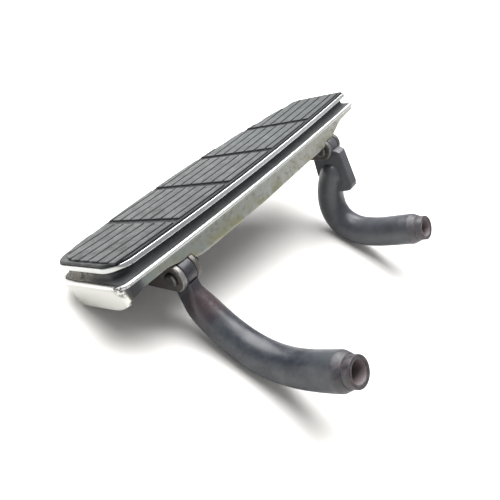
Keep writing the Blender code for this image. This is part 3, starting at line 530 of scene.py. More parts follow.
def rust_group() -> bpy.types.NodeTree:
    """Rust: a colour that wanders between dark and light browns, put over a base by a mask."""
    ins = {
        "Vector": (VECTOR, None),
        "Base": (COLOUR, (0.1, 0.1, 0.1, 1)),
        "Mask": (FLOAT, 0.0),
        "Dark": (COLOUR, (*linear("4a342c"), 1)),
        "Light": (COLOUR, (*linear("8d6f62"), 1)),
    }
    tree = new_group("rust", ins, {"Color": COLOUR, "Rough": FLOAT})
    pen = NodePen(tree)
    source = pen.node("NodeGroupInput").outputs
    tone = pen.ramp(pen.noise(source["Vector"], 260, 5, 0.7), 0.35, 0.65)
    brown = pen.mix(tone, source["Dark"], source["Light"])
    colour = pen.mix(source["Mask"], source["Base"], brown)
    rough = pen.ramp(source["Mask"], 0, 1, 0, 0.45)
    pen.node("NodeGroupOutput", {"Color": colour, "Rough": rough})
    return tree


@dataclass
class GroupShelf:
    """The node groups that several finishes share, each built once."""

    blotches: bpy.types.NodeTree = field(default_factory=blotch_group)
    grain: bpy.types.NodeTree = field(default_factory=grain_group)
    rust: bpy.types.NodeTree = field(default_factory=rust_group)


@dataclass(frozen=True)
class Finish:
    """What every finish has: a name and its plain gloss values."""

    name: str
    metallic: float = 0.0
    roughness: float = 0.5
    specular: float = 0.5


class Coat:
    """A material in the making, with the tools that every finish draws on."""

    def __init__(self, finish: Finish, shelf: GroupShelf) -> None:
        """Makes the material with its shader and its object coordinates.

        Args:
            finish: the finish, for its name and gloss values.
            shelf: the shared node groups.
        """
        self.material = bpy.data.materials.new(finish.name)
        self.material.use_nodes = True
        self.shelf = shelf
        self.pen = NodePen(self.material.node_tree)
        self.shader = self.material.node_tree.nodes["Principled BSDF"]
        self.shader.inputs["Metallic"].default_value = finish.metallic
        self.shader.inputs["Roughness"].default_value = finish.roughness
        self.shader.inputs["Specular IOR Level"].default_value = finish.specular
        self.place = self.pen.node("ShaderNodeTexCoord").outputs["Object"]

    def mark(self) -> Socket:
        """The value that a piece's points carry; each finish says what it does there."""
        return self.pen.node("ShaderNodeAttribute", attribute_name=MARK).outputs["Fac"]

    def axis(self, name: str) -> Socket:
        """One coordinate of the place: X, Y or Z, in metres."""
        return self.pen.node("ShaderNodeSeparateXYZ", {"Vector": self.place}).outputs[name]

    def near(self, spot: Point, full: float, reach: float) -> Socket:
        """A mask that is 1 within a distance of a spot and falls to 0 at a reach."""
        inputs = {0: self.place, 1: spot}
        distance = self.pen.node("ShaderNodeVectorMath", inputs, operation="DISTANCE").outputs["Value"]
        return self.pen.ramp(distance, full, reach, 1, 0)

    def below_bars(self) -> Socket:
        """Height above the bar tops' level with the board's dip taken out, in millimetres."""
        start_x, _, start_z = (float(value) for value in BOARD_TO_MODEL)
        along = self.pen.math("MULTIPLY_ADD", self.axis("X"), 2 / PLAN.length, -2 * start_x / PLAN.length - 1)
        square = self.pen.math("MULTIPLY", along, along)
        dip = self.pen.math("MULTIPLY_ADD", square, PLAN.dip_depth, -PLAN.dip_depth)
        level = self.pen.math("SUBTRACT", self.pen.math("SUBTRACT", self.axis("Z"), start_z), dip)
        return self.pen.math("MULTIPLY", level, 1 / MM)

    def blotches(self, scale: float, level: object, softness: float) -> Socket:
        """A mask of irregular blotches, which are rarer the higher the level."""
        inputs = {"Vector": self.place, "Scale": scale, "Level": level, "Softness": softness}
        return self.pen.node("ShaderNodeGroup", inputs, node_tree=self.shelf.blotches).outputs["Mask"]

    def grain(self, scale: float, pits: float) -> Socket:
        """The height of fine grain with pits of a given depth."""
        inputs = {"Vector": self.place, "Scale": scale, "Pits": pits}
        return self.pen.node("ShaderNodeGroup", inputs, node_tree=self.shelf.grain).outputs["Height"]

    def wander(self, scale: float, detail: float, rough: float, levels: Pair, span: Pair = (0, 1)) -> Socket:
        """A value that goes over a span while noise goes from one level to another."""
        return self.pen.ramp(self.pen.noise(self.place, scale, detail, rough), *levels, *span)

    def faded(self, mask: object, share: float) -> Socket:
        """A mask at a share of its strength."""
        return self.pen.math("MULTIPLY", mask, share)

    def done(
        self, colour: Socket, rough: Socket | None, height: Socket | None = None, depth: float = 0.0
    ) -> bpy.types.Material:
        """Feeds the shader and hands the material over.

        Args:
            colour: the base colour.
            rough: the roughness, or None where the finish's plain value holds.
            height: a relief, if there is one.
            depth: depth in metres for a full step of the relief.

        Returns:
            The finished material.
        """
        links = self.material.node_tree.links
        links.new(colour, self.shader.inputs["Base Color"])
        if rough is not None:
            links.new(rough, self.shader.inputs["Roughness"])
        if height is not None:
            bump = self.pen.node("ShaderNodeBump", {"Height": height, "Distance": depth, "Strength": 1.0})
            links.new(bump.outputs["Normal"], self.shader.inputs["Normal"])
        return self.material


@dataclass(frozen=True)
class TreadRubber(Finish):
    """Aged black rubber: dull grooves, bars rubbed grey and shiny by boots. The mark is 1 on bar tops."""

    name: str = "tread_rubber_worn"
    specular: float = 0.28
    groove: Colour = linear("101214")
    bar_rear: Colour = linear("2a2c2d")
    bar_front: Colour = linear("404343")
    scuff: Colour = linear("4a4d4e")
    speck: Colour = linear("2a2c2e")
    fade: Pair = (-0.05, 0.2)
    relief: float = 0.06 * MM

    def build(self, shelf: GroupShelf) -> bpy.types.Material:
        """Makes the material: bars pale to the front, with scuffed blotches and dark specks."""
        coat = Coat(self, shelf)
        pen = coat.pen
        bar = pen.mix(pen.ramp(coat.axis("X"), *self.fade), self.bar_rear, self.bar_front)
        bar = pen.mix(coat.faded(coat.blotches(55, 0.52, 0.12), 0.7), bar, self.scuff)
        bar = pen.mix(coat.wander(900, 4, 0.7, (0.62, 0.72), (0, 0.5)), bar, self.speck)
        colour = pen.mix(coat.mark(), self.groove, bar)
        rough = coat.wander(140, 5, 0.6, (0.35, 0.7), (0.4, 0.58))
        return coat.done(colour, rough, coat.grain(1500, 0.3), self.relief)


@dataclass(frozen=True)
class DamperRubber(Finish):
    """Matt black rubber, paler beside the bead, with dried residue at the rear end."""

    name: str = "damper_rubber_dull"
    roughness: float = 0.62
    base: Colour = linear("1f2122")
    pale: Colour = linear("3e4042")
    residue: Colour = linear("8a857c")
    lip_levels: Pair = (-15.4, -13.2)
    residue_x: Pair = (-0.05, -0.03)
    residue_y: Pair = (0.15, 0.182)
    relief: float = 0.08 * MM

    def build(self, shelf: GroupShelf) -> bpy.types.Material:
        """Makes the material: low parts are paler, and a blotch mask near the rear end is residue."""
        coat = Coat(self, shelf)
        pen = coat.pen
        colour = pen.mix(pen.ramp(coat.below_bars(), *self.lip_levels, 0.85, 0), self.base, self.pale)
        colour = pen.mix(coat.faded(coat.blotches(70, 0.58, 0.1), 0.45), colour, self.pale)
        behind = pen.ramp(coat.axis("X"), *self.residue_x, 1, 0)
        beside = pen.ramp(coat.axis("Y"), *self.residue_y, 0, 0.9)
        dried = pen.math("MULTIPLY", pen.math("MULTIPLY", behind, beside), coat.blotches(170, 0.46, 0.12))
        colour = pen.mix(dried, colour, self.residue)
        return coat.done(colour, None, coat.grain(1100, 0.5), self.relief)


@dataclass(frozen=True)
class Plating(Finish):
    """Bright plating with a faint haze and small dull specks."""

    name: str = "plated_steel_bright"
    metallic: float = 1.0
    roughness: float = 0.16
    base: Colour = linear("a9aaa9")
    front: Colour = linear("d2d3d3")
    speck: Colour = linear("6c6762")
    fade: Pair = (-0.02, 0.16)

    def build(self, shelf: GroupShelf) -> bpy.types.Material:
        """Makes the material: it is paler to the front, haze changes the roughness, and specks dull it."""
        coat = Coat(self, shelf)
        clean = coat.pen.mix(coat.pen.ramp(coat.axis("X"), *self.fade), self.base, self.front)
        colour = coat.pen.mix(coat.blotches(420, 0.68, 0.02), clean, self.speck)
        return coat.done(colour, coat.wander(90, 5, 0.65, (0.3, 0.75), (0.1, 0.3)))


@dataclass(frozen=True)
class CastAluminium(Finish):
    """Cast alloy: polished bead and cap, a dull stained skirt and an inside painted dark as shade.

    The mark is 1 on the bead, 0.6 on the cap, 0 on the skirt and -1 inside; below 0 it paints shade.
    """

    name: str = "cast_aluminium_aged"
    metallic: float = 1.0
    roughness: float = 0.4
    polished: Colour = linear("c9c9c7")
    cap: Colour = linear("cacac6")
    skirt_rear: Colour = linear("7f8584")
    skirt_front: Colour = linear("b6b6b0")
    oxide: Colour = linear("8a8562")
    dirt: Colour = linear("6a6a5c")
    # shaded: painted shade inside, and the painted dark reflection beside the rear corner.
    shaded: Colour = linear("34313a")
    pit: Colour = linear("6d6862")
    scrape: Colour = linear("4a474b")
    fade: Pair = (-0.03, 0.2)
    stained_levels: Pair = (-31, -20)
    nick: Point = (-0.0567, 0.1275, 0.0945)
    nick_reach: Pair = (0.003, 0.009)
    satin: float = 0.46
    relief: float = 0.1 * MM

    def skirt(self, coat: Coat) -> Socket:
        """The skirt's colour: paler to the front, with yellow oxide low down and brown dirt."""
        pen = coat.pen
        colour = pen.mix(pen.ramp(coat.axis("X"), *self.fade), self.skirt_rear, self.skirt_front)
        low = pen.ramp(coat.below_bars(), *self.stained_levels, 1, 0.3)
        stained = coat.faded(pen.math("MULTIPLY", low, coat.blotches(75, 0.48, 0.1)), 0.75)
        colour = pen.mix(stained, colour, self.oxide)
        return pen.mix(coat.faded(coat.blotches(210, 0.57, 0.05), 0.45), colour, self.dirt)

    def build(self, shelf: GroupShelf) -> bpy.types.Material:
        """Makes the material: the mark chooses the skin and paints shade where it is below 0, then come pits
        and a scrape at the rear corner.
        """
        coat = Coat(self, shelf)
        pen, mark = coat.pen, coat.mark()
        smooth = pen.ramp(mark, 0, CAP_MARK)
        bead = pen.ramp(mark, CAP_MARK, 1)
        colour = pen.mix(smooth, self.skirt(coat), self.cap)
        colour = pen.mix(bead, colour, self.polished)
        # Painted shade where the mark falls below 0.
        colour = pen.mix(pen.ramp(mark, 0, -1), colour, self.shaded)
        colour = pen.mix(coat.blotches(520, 0.69, 0.02), colour, self.pit)
        torn = coat.wander(420, 4, 0.7, (0.46, 0.54))
        scraped = pen.math("MULTIPLY", coat.near(self.nick, *self.nick_reach), torn)
        colour = pen.mix(scraped, colour, self.scrape)
        dull = coat.wander(160, 5, 0.6, (0.3, 0.7), (0.36, 0.52))
        shine = coat.wander(75, 4, 0.6, (0.3, 0.7), (0.34, 0.46))
        rough = pen.between(smooth, dull, pen.between(bead, self.satin, shine))
        skin = pen.math("MULTIPLY", coat.grain(800, 0.5), pen.math("SUBTRACT", 1.0, smooth))
        return coat.done(colour, rough, skin, self.relief)


@dataclass(frozen=True)
class WornPaint(Finish):
    """Blue-black paint rubbed thin, over steel that rusts where the paint is gone.

    The mark is 0 on sound paint, 1 where it is rubbed and more than 1 in the bores, which are painted lighter
    as painted light.
    """

    name: str = "black_paint_worn"
    roughness: float = 0.4
    paint: Colour = linear("1e212a")
    thin: Colour = linear("373b40")
    # front: the grey that paints light on the front arm, more towards its top.
    front: Colour = linear("4d4e53")
    rust_dark: Colour = linear("2f2526")
    rust_light: Colour = linear("604c4b")
    stain: Colour = linear("38292d")
    spot: Colour = linear("26090f")
    # bored: painted light that makes the deep bores look lit.
    bored: Colour = linear("7a7072")
    painted_light_x: Pair = (0.1, 0.2)
    painted_light_z: Pair = (0.0, 0.07)
    spot_level: float = 0.72
    patch: Point = (0.001, 0.12, 0.0455)
    patch_reach: float = 0.023
    relief: float = 0.12 * MM

    def build(self, shelf: GroupShelf) -> bpy.types.Material:
        """Makes the material: thin places, a front arm painted greyer towards its top as painted light, rust,
        a stained patch on the rear arm, and bores painted lighter as painted light.
        """
        coat = Coat(self, shelf)
        pen, mark = coat.pen, coat.mark()
        base = pen.mix(coat.blotches(45, 0.5, 0.1), self.paint, self.thin)
        # Painted light: the front arm turns greyer, the more so the higher it lies.
        high = pen.ramp(coat.axis("Z"), *self.painted_light_z, 0.35, 0.8)
        base = pen.mix(pen.math("MULTIPLY", pen.ramp(coat.axis("X"), *self.painted_light_x), high), base, self.front)
        patch = coat.near(self.patch, 0.3 * self.patch_reach, self.patch_reach)
        level = pen.math("SUBTRACT", self.spot_level, coat.faded(patch, 0.14))
        rubbed = pen.math("MULTIPLY", mark, coat.wander(210, 5, 0.7, (0.35, 0.6)))
        bare = pen.math("MAXIMUM", coat.blotches(130, level, 0.06), coat.faded(rubbed, 0.8))
        browns = {"Dark": (*self.rust_dark, 1), "Light": (*self.rust_light, 1)}
        inputs = {"Vector": coat.place, "Base": base, "Mask": bare, **browns}
        rust = pen.node("ShaderNodeGroup", inputs, node_tree=shelf.rust).outputs
        colour = pen.mix(coat.faded(patch, 0.8), rust["Color"], self.stain)
        colour = pen.mix(pen.math("MULTIPLY", patch, coat.blotches(240, 0.62, 0.03)), colour, self.spot)
        # Painted light in the bores, where the mark passes 1.1.
        colour = pen.mix(pen.ramp(mark, 1.1, BORE_MARK), colour, self.bored)
        shine = coat.wander(120, 5, 0.6, (0.3, 0.7), (0.3, 0.44))
        rough = pen.math("ADD", shine, rust["Rough"], clamp=True)
        raised = pen.math("ADD", coat.faded(coat.grain(700, 0.5), 0.5), coat.faded(bare, 0.6))
        return coat.done(colour, rough, raised, self.relief)


@dataclass(frozen=True)
class BracketSteel(Finish):
    """Black brackets, rubbed through to bright steel along their rounded noses where the mark is high, which
    is also a painted highlight.
    """

    name: str = "bracket_black_rubbed"
    metallic: float = 0.6
    roughness: float = 0.42
    black: Colour = linear("55514f")
    film: Colour = linear("4a4742")
    bare: Colour = linear("8e8d8b")
    relief: float = 0.08 * MM

    def build(self, shelf: GroupShelf) -> bpy.types.Material:
        """Makes the material: the mark lays steel bare, broken by noise, as wear and as a painted highlight,
        and blotches leave grey films.
        """
        coat = Coat(self, shelf)
        pen = coat.pen
        base = pen.mix(coat.faded(coat.blotches(110, 0.52, 0.1), 0.5), self.black, self.film)
        rubbed = pen.math("MULTIPLY", coat.mark(), coat.wander(300, 5, 0.7, (0.3, 0.55)))
        rough = coat.wander(160, 5, 0.6, (0.3, 0.7), (0.3, 0.5))
        return coat.done(pen.mix(rubbed, base, self.bare), rough, coat.grain(900, 0.5), self.relief)


@dataclass(frozen=True)
class DullSteel(Finish):
    """Plain steel fasteners, greyed, with brown in places."""

    name: str = "steel_dull"
    metallic: float = 0.85
    roughness: float = 0.42
    base: Colour = linear("50504f")
    least_rough: float = 0.34
    relief: float = 0.05 * MM

    def build(self, shelf: GroupShelf) -> bpy.types.Material:
        """Makes the material: grey steel under blotches of rust."""
        coat = Coat(self, shelf)
        spots = coat.blotches(150, 0.72, 0.08)
        inputs = {"Vector": coat.place, "Base": (*self.base, 1), "Mask": spots}
        rust = coat.pen.node("ShaderNodeGroup", inputs, node_tree=shelf.rust).outputs
        rough = coat.pen.math("ADD", rust["Rough"], self.least_rough, clamp=True)
        return coat.done(rust["Color"], rough, coat.grain(900, 0.4), self.relief)


@dataclass
class TreadPad:
    """The rubber pad: a raised border round a floor, on which eight rows of bars stand in five panels."""

    foot: float = -4.5 * MM
    floor: float = -1.35 * MM
    border_top: float = -1.1 * MM
    edge_inset: float = 1.6 * MM
    bar_inner: float = 3.3 * MM
    bar_rear: float = 5.2 * MM
    bar_front: float = 7.8 * MM
    bar_outer: float = 4 * MM
    bar_far_corner: float = 34 * MM
    first_groove: float = 11.45 * MM
    bar_pitch: float = 12.7 * MM
    groove_half: float = 1.0 * MM
    first_cross: float = 68.2 * MM
    panel_pitch: float = 63.5 * MM
    cross_half: float = 3.3 * MM
    bar_round: float = 0.7 * MM
    border_round: float = 1.3 * MM
    least_bar: float = 2.2 * MM
    steps: int = 16

    def bar_margin(self, inset: float) -> Margin:
        """The margin of the field of bars, inset evenly."""
        sides = (self.bar_inner, self.bar_rear, self.bar_front, self.bar_outer)
        return Margin(*(-side - inset for side in sides), far_corner=self.bar_far_corner)

    def base(self, shells: Shells) -> None:
        """Adds the sheet with its border: rings up the edge, over the border and down into the floor.

        Args:
            shells: the pad's shells.
        """
        top, edge, r = self.border_top, self.edge_inset, self.border_round
        rows = [(edge + 0.3 * MM, self.foot), (edge + 0.2 * MM, self.foot + 0.4 * MM), (edge, -3.1 * MM)]
        rows += arc((edge + r, top - r), r, math.pi, QUARTER, 5).tolist()
        rings = [PLAN.ring(Margin.even(-inset), z) for inset, z in rows]
        for outset, z in ((0.9 * MM, top), (0.65 * MM, top - 0.1 * MM), (0.5 * MM, self.floor)):
            rings.append(PLAN.ring(self.bar_margin(-outset), z))
        under, low = PLAN.closing_rings(Margin.even(-rows[0][0]), self.foot)
        over, high = PLAN.closing_rings(self.bar_margin(-0.5 * MM), self.floor)
        marks = [0.0] * (len(under) + 2) + [0.15] * 6 + [0.5] * 3 + [0.3] + [0.0] * len(over)
        shells.add_rings(np.array(under[::-1] + rings + over), low, high, np.array(marks))

    def outer_limit(self, x: Array) -> Array:
        """Outer end of the field of bars at each place along the board, read from its outline."""
        plan = PLAN.outline(self.bar_margin(0))
        labels = PLAN.labels()
        side = plan[(labels >= 2) & (labels <= 7)][::-1]
        rising = np.maximum.accumulate(side[:, 0]) + np.arange(len(side)) * 1e-9
        return np.interp(x, rising, side[:, 1])

    def bar_ring(self, ends: Pair, sides: Pair, inset: float, height: float) -> Array:
        """One ring of a bar: along its inner side and back along its outer one, cut where the field ends.

        Args:
            ends: where the bar begins and ends along the board.
            sides: its inner and outer sides.
            inset: how far the ring lies inside them.
            height: its height.

        Returns:
            The ring in the model's frame.
        """
        share = np.linspace(0, 1, self.steps)
        low_y, high_y = sides[0] + inset, sides[1] - inset
        start, end = ends[0] + inset, ends[1] - inset
        x = start + (end - start) * share
        far = np.minimum(high_y, np.maximum(self.outer_limit(x) - inset, low_y + 0.05 * MM))
        near_side = np.column_stack((x, np.full_like(x, low_y)))
        far_side = np.column_stack((x, far))[::-1]
        plan = np.vstack((near_side, far_side))
        z = height + PLAN.dip(plan[:, 0])
        return np.column_stack((plan, z)) + BOARD_TO_MODEL

    def bars(self, shells: Shells) -> None:
        """Adds every bar as a shell of its own: a foot in the floor, rounded edges and a flat top.

        Args:
            shells: the pad's shells.
        """
        crosses = [self.first_cross + k * self.panel_pitch for k in range(4)]
        grooves = [self.first_groove + k * self.bar_pitch for k in range(7)]
        sides = [self.bar_inner] + grooves + [PLAN.width]
        for low, high in zip(sides[:-1], sides[1:]):
            low_y = low + (self.groove_half if low != self.bar_inner else 0)
            high_y = high - (self.groove_half if high != PLAN.width else 0)
            middle = 0.5 * (low_y + min(high_y, PLAN.width - self.bar_outer))
            starts = [self.bar_rear + PLAN.slant * middle] + [x + self.cross_half for x in crosses]
            stops = [x - self.cross_half for x in crosses] + [PLAN.length - self.bar_front]
            for start, stop in zip(starts, stops):
                x = np.linspace(start, stop, 40)
                free = x[self.outer_limit(x) > low_y + self.least_bar]
                if len(free) > 3:
                    self.bar(shells, (float(free[0]), float(free[-1])), (low_y, high_y))

    def bar(self, shells: Shells, ends: Pair, sides: Pair) -> None:
        """Adds one bar.

        Args:
            shells: the pad's shells.
            ends: where it begins and ends along the board.
            sides: its inner and outer sides.
        """
        r = self.bar_round
        rows = [(-0.15 * MM, self.floor - 0.3 * MM), (0, -r - 0.2 * MM)]
        rows += arc((r, -r), r, math.pi - 0.25, QUARTER, 4).tolist() + [(1.8 * MM, 0)]
        rings = np.array([self.bar_ring(ends, sides, inset, z) for inset, z in rows])
        marks = np.array([0, 0, 0.1, 0.3, 0.7, 1, 1, 1])
        shells.add_rings(rings, rings[0].mean(axis=0), rings[-1].mean(axis=0), marks)

    def build(self, finish: bpy.types.Material) -> bpy.types.Object:
        """Builds the pad.

        Args:
            finish: the tread rubber.

        Returns:
            The piece.
        """
        shells = Shells()
        self.base(shells)
        self.bars(shells)
        piece = shells.piece("tread_pad_skin", Slot.TREAD, Body.BOARD, finish, 50)
        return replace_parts(piece, "tread_pad")


@dataclass
class HingeBracket:
    """A clevis: a flange under two bosses with two ears that hold the pin."""

    end: str
    hinge_x: float
    rub_and_highlight: Pair = (0.75, 0.15)
    ear_radius: float = 11.8 * MM
    ear_centres: float = 8.25 * MM
    ear_half: float = 2.25 * MM
    ear_end: float = 32 * MM
    ear_top: float = 10.95 * MM
    ear_bottom: float = -7.5 * MM
    flange: Point = (17.5 * MM, 42 * MM, 28 * MM)
    flange_heights: Pair = (-31.3 * MM, -26.3 * MM)
    corner: float = 8 * MM

    def ears(self, shells: Shells) -> None:
        """Adds both ears, round about the pin and running outwards under the flange.

        Args:
            shells: the bracket's shells.
        """
        r = self.ear_radius
        corners = [(-0.08 * r, 0.887 * r), (self.ear_end, self.ear_top), (self.ear_end, self.ear_bottom)]
        corners = np.array([*corners, (0.156 * r, -0.988 * r), (-0.08 * r, -0.887 * r)])
        angles = angles_with(corners, 160)
        reach = np.maximum(r, reach_of_polygon(corners, angles))
        # Bright steel on each ear's nose, on its inner side only: partly wear and partly a painted highlight,
        # set ear by ear.
        for side, rub_and_highlight in zip((-1, 1), self.rub_and_highlight):
            middle = self.hinge_x + side * self.ear_centres
            rings, marks = holed_plate(middle, self.ear_half, reach, angles, 1.0 * MM)
            nose = np.clip((PIVOT[0] + 1 * MM - rings[:, :, 1]) / (6 * MM), 0, 1)
            shells.add_rings(rings + BOARD_TO_MODEL, None, None)
            shells.marks[-1] = (rub_and_highlight * marks[:, None] * nose).ravel()

    def plate(self, shells: Shells) -> None:
        """Adds the flange: a rounded rectangle with eased edges.

        Args:
            shells: the bracket's shells.
        """
        low_y, high_y, half = self.flange
        low_z, high_z = self.flange_heights
        r = self.corner
        side, low, high = half - r, low_y + r, high_y - r
        spots = ((side, high), (-side, high), (-side, low), (side, low))
        middle = (self.hinge_x, 0.5 * (low_y + high_y))

        def outline(inset: float) -> Array:
            corners = []
            for k, (x, y) in enumerate(spots):
                corners.append(arc((self.hinge_x + x, y), r - inset, k * QUARTER, (k + 1) * QUARTER, 8))
            return np.vstack(corners)

        rows = [(0.8 * MM, low_z), (0.25 * MM, low_z + 0.25 * MM), (0, low_z + 0.8 * MM)]
        rows += [(0, high_z - 0.5 * MM), (0.5 * MM, high_z)]
        rings = [np.column_stack((outline(inset), np.full(36, z))) for inset, z in rows]
        start, end = np.array((*middle, low_z)), np.array((*middle, high_z))
        shells.add_rings(np.array(rings) + BOARD_TO_MODEL, start + BOARD_TO_MODEL, end + BOARD_TO_MODEL)

    def build(self, finish: bpy.types.Material) -> bpy.types.Object:
        """Builds the bracket from its ears and its flange.

        Args:
            finish: the brackets' own finish.

        Returns:
            The piece.
        """
        shells = Shells()
        self.ears(shells)
        self.plate(shells)
        piece = shells.piece(f"{self.end}_bracket_skin", Slot.PAINT, Body.BOARD, finish, 40)
        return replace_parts(piece, f"{self.end}_bracket")


@dataclass
class TreadSet:
    """The plated plate and the damper mat below it."""

    bar_height: float = 3 * MM
    plate_depth: float = 4.3 * MM
    rim_width: float = 1.5 * MM
    rim_round: float = 0.7 * MM
    foot_round: float = 1.0 * MM
    recess: float = 1.8 * MM
    recess_round: float = 0.3 * MM
    stud_radius: float = 3 * MM
    stud_pitch: float = 1.25 * MM
    stud_length: float = 21.3 * MM
    stud_x: Pair = (100 * MM, 230 * MM)
    stud_shares: Pair = (0.22, 0.65)
    mat_top_inset: float = 3.2 * MM
    waist_inset: float = 4.4 * MM

    def build_plate(self, finish: bpy.types.Material) -> bpy.types.Object:
        """Builds the pan: a rounded rim round a shallow recess, as rings that follow the tread's outline.

        Args:
            finish: the plating.

        Returns:
            The piece.
        """
        top, bottom = -self.bar_height, -self.bar_height - self.plate_depth
        foot, rim, dent = self.foot_round, self.rim_round, self.recess_round
        rows = arc((-foot, bottom + foot), foot, -QUARTER, 0, 4).tolist()
        rows += arc((-rim, top - rim), rim, 0, QUARTER, 5).tolist()
        rows += arc((dent - self.rim_width, top - dent), dent, QUARTER, math.pi, 3).tolist()
        rows.append((-self.rim_width, top - self.recess))
        rings = [PLAN.ring(Margin.even(offset), z) for offset, z in rows]
        under, low = PLAN.closing_rings(Margin.even(rows[0][0]), bottom)
        over, high = PLAN.closing_rings(Margin.even(rows[-1][0]), top - self.recess)
        shells = Shells()
        shells.add_rings(np.array(under[::-1] + rings + over), low, high)
        self.add_studs(shells, bottom)
        piece = shells.piece("tread_plate_skin", Slot.PLATING, Body.BOARD, finish)
        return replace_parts(piece, "tread_plate")

    def add_studs(self, shells: Shells, bottom: float) -> None:
        """Adds the four studs: a turned rod whose lower end has ridges for its thread.

        Args:
            shells: the plate's shells.
            bottom: height of the plate's underside.
        """
        radius, end = self.stud_radius, -self.stud_length
        ridges = np.arange(0, 7 * self.stud_pitch, self.stud_pitch / 2)
        saw = np.where(np.arange(len(ridges)) % 2, radius - 0.45 * MM, radius)
        thread = np.column_stack((saw, end + ridges))
        profile = np.vstack(((radius - 0.8 * MM, end - 0.2 * MM), thread, (radius, 0.5 * MM)))
        for x in self.stud_x:
            for share in self.stud_shares:
                foot = np.array([x, share * PLAN.width, bottom + float(PLAN.dip(x))]) + BOARD_TO_MODEL
                add_turned(shells, profile, foot, 24)

    def build_mat(self, finish: bpy.types.Material) -> bpy.types.Object:
        """Builds the mat: an upright waist under the plate that sweeps out to a lip beside the bead.

        The sweep from the waist to the lip mixes the two outlines by a share that is a power of the depth.

        Args:
            finish: the damper rubber.

        Returns:
            The piece.
        """
        top = -self.bar_height - self.plate_depth - GAP
        bottom = DECK_TOP + GAP
        lip = BEAD_WIDTH + 2 * GAP
        waist = PLAN.ring(Margin.even(-self.waist_inset), top - 2 * MM)
        edge = PLAN.ring(base_margin(lip), bottom + 1.5 * MM, crowned=True)
        rows = [PLAN.ring(Margin.even(-self.mat_top_inset), top)]
        rows += [PLAN.ring(Margin.even(-self.waist_inset + 0.4 * MM), top - 0.9 * MM), waist]
        for t in np.linspace(0, 1, 10)[1:]:
            plan_share, drop = t**2.3, t**0.75
            mixed = waist * (1 - plan_share) + edge * plan_share
            mixed[:, 2] = waist[:, 2] * (1 - drop) + edge[:, 2] * drop
            rows.append(mixed)
        rows.append(PLAN.ring(base_margin(lip), bottom + 0.7 * MM, crowned=True))
        rows.append(PLAN.ring(base_margin(lip + 2 * GAP), bottom))
        over, high = PLAN.closing_rings(Margin.even(-self.mat_top_inset), top)
        under, low = PLAN.closing_rings(base_margin(lip + 2 * GAP), bottom)
        shells = Shells()
        shells.add_rings(np.array(over[::-1] + rows + under), high, low)
        piece = shells.piece("damper_mat_skin", Slot.DAMPER, Body.BOARD, finish, 50)
        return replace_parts(piece, "damper_mat")


CASTING_OVERHANG = (5.5, 4.63, 3.2, -1)
CASTING_DRAFT = (0.7, 2.6, 2.6, 7)
INNER_EDGE = ((3.5, -27), (15.5, -24.6), (40, -23.9), (55, -27.8), (70, -32.5), (78, -32.9), (273, -31.9))
INNER_EDGE += ((284, -28.2), (292, -25.5), (301, -22.1), (324, -21.3))
OUTER_EDGE = ((8, -37.8), (30, -34.6), (78, -32.9), (273, -31.9), (300, -25), (326, -21.8))
FRONT_EDGE = ((0, -21.3), (20, -21.7), (60, -21.8))
REAR_EDGE = ((-5.5, -27), (3.2, -30.5), (8, -33.8), (14, -36.9), (24, -38), (60, -38.3), (90, -37.8))


def base_margin(inset: float, draft: float = 0.0) -> Margin:
    """The casting's margin, inset evenly, and moved further in by a share of each side's draft."""
    pairs = zip(CASTING_OVERHANG, CASTING_DRAFT)
    return Margin(*(over * MM - inset - lean * MM * draft for over, lean in pairs), corner=4 * MM)


def fading(place: Array, end: float, span: float) -> Array:
    """A share that is 1 well before an end and falls to 0 at it over a span."""
    return np.clip((end - place) / span, 0, 1)


def read(table: tuple[Pair, ...], places: Array) -> Array:
    """Values at places in a table of places and values, both in millimetres."""
    return np.interp(places, *np.transpose(table))


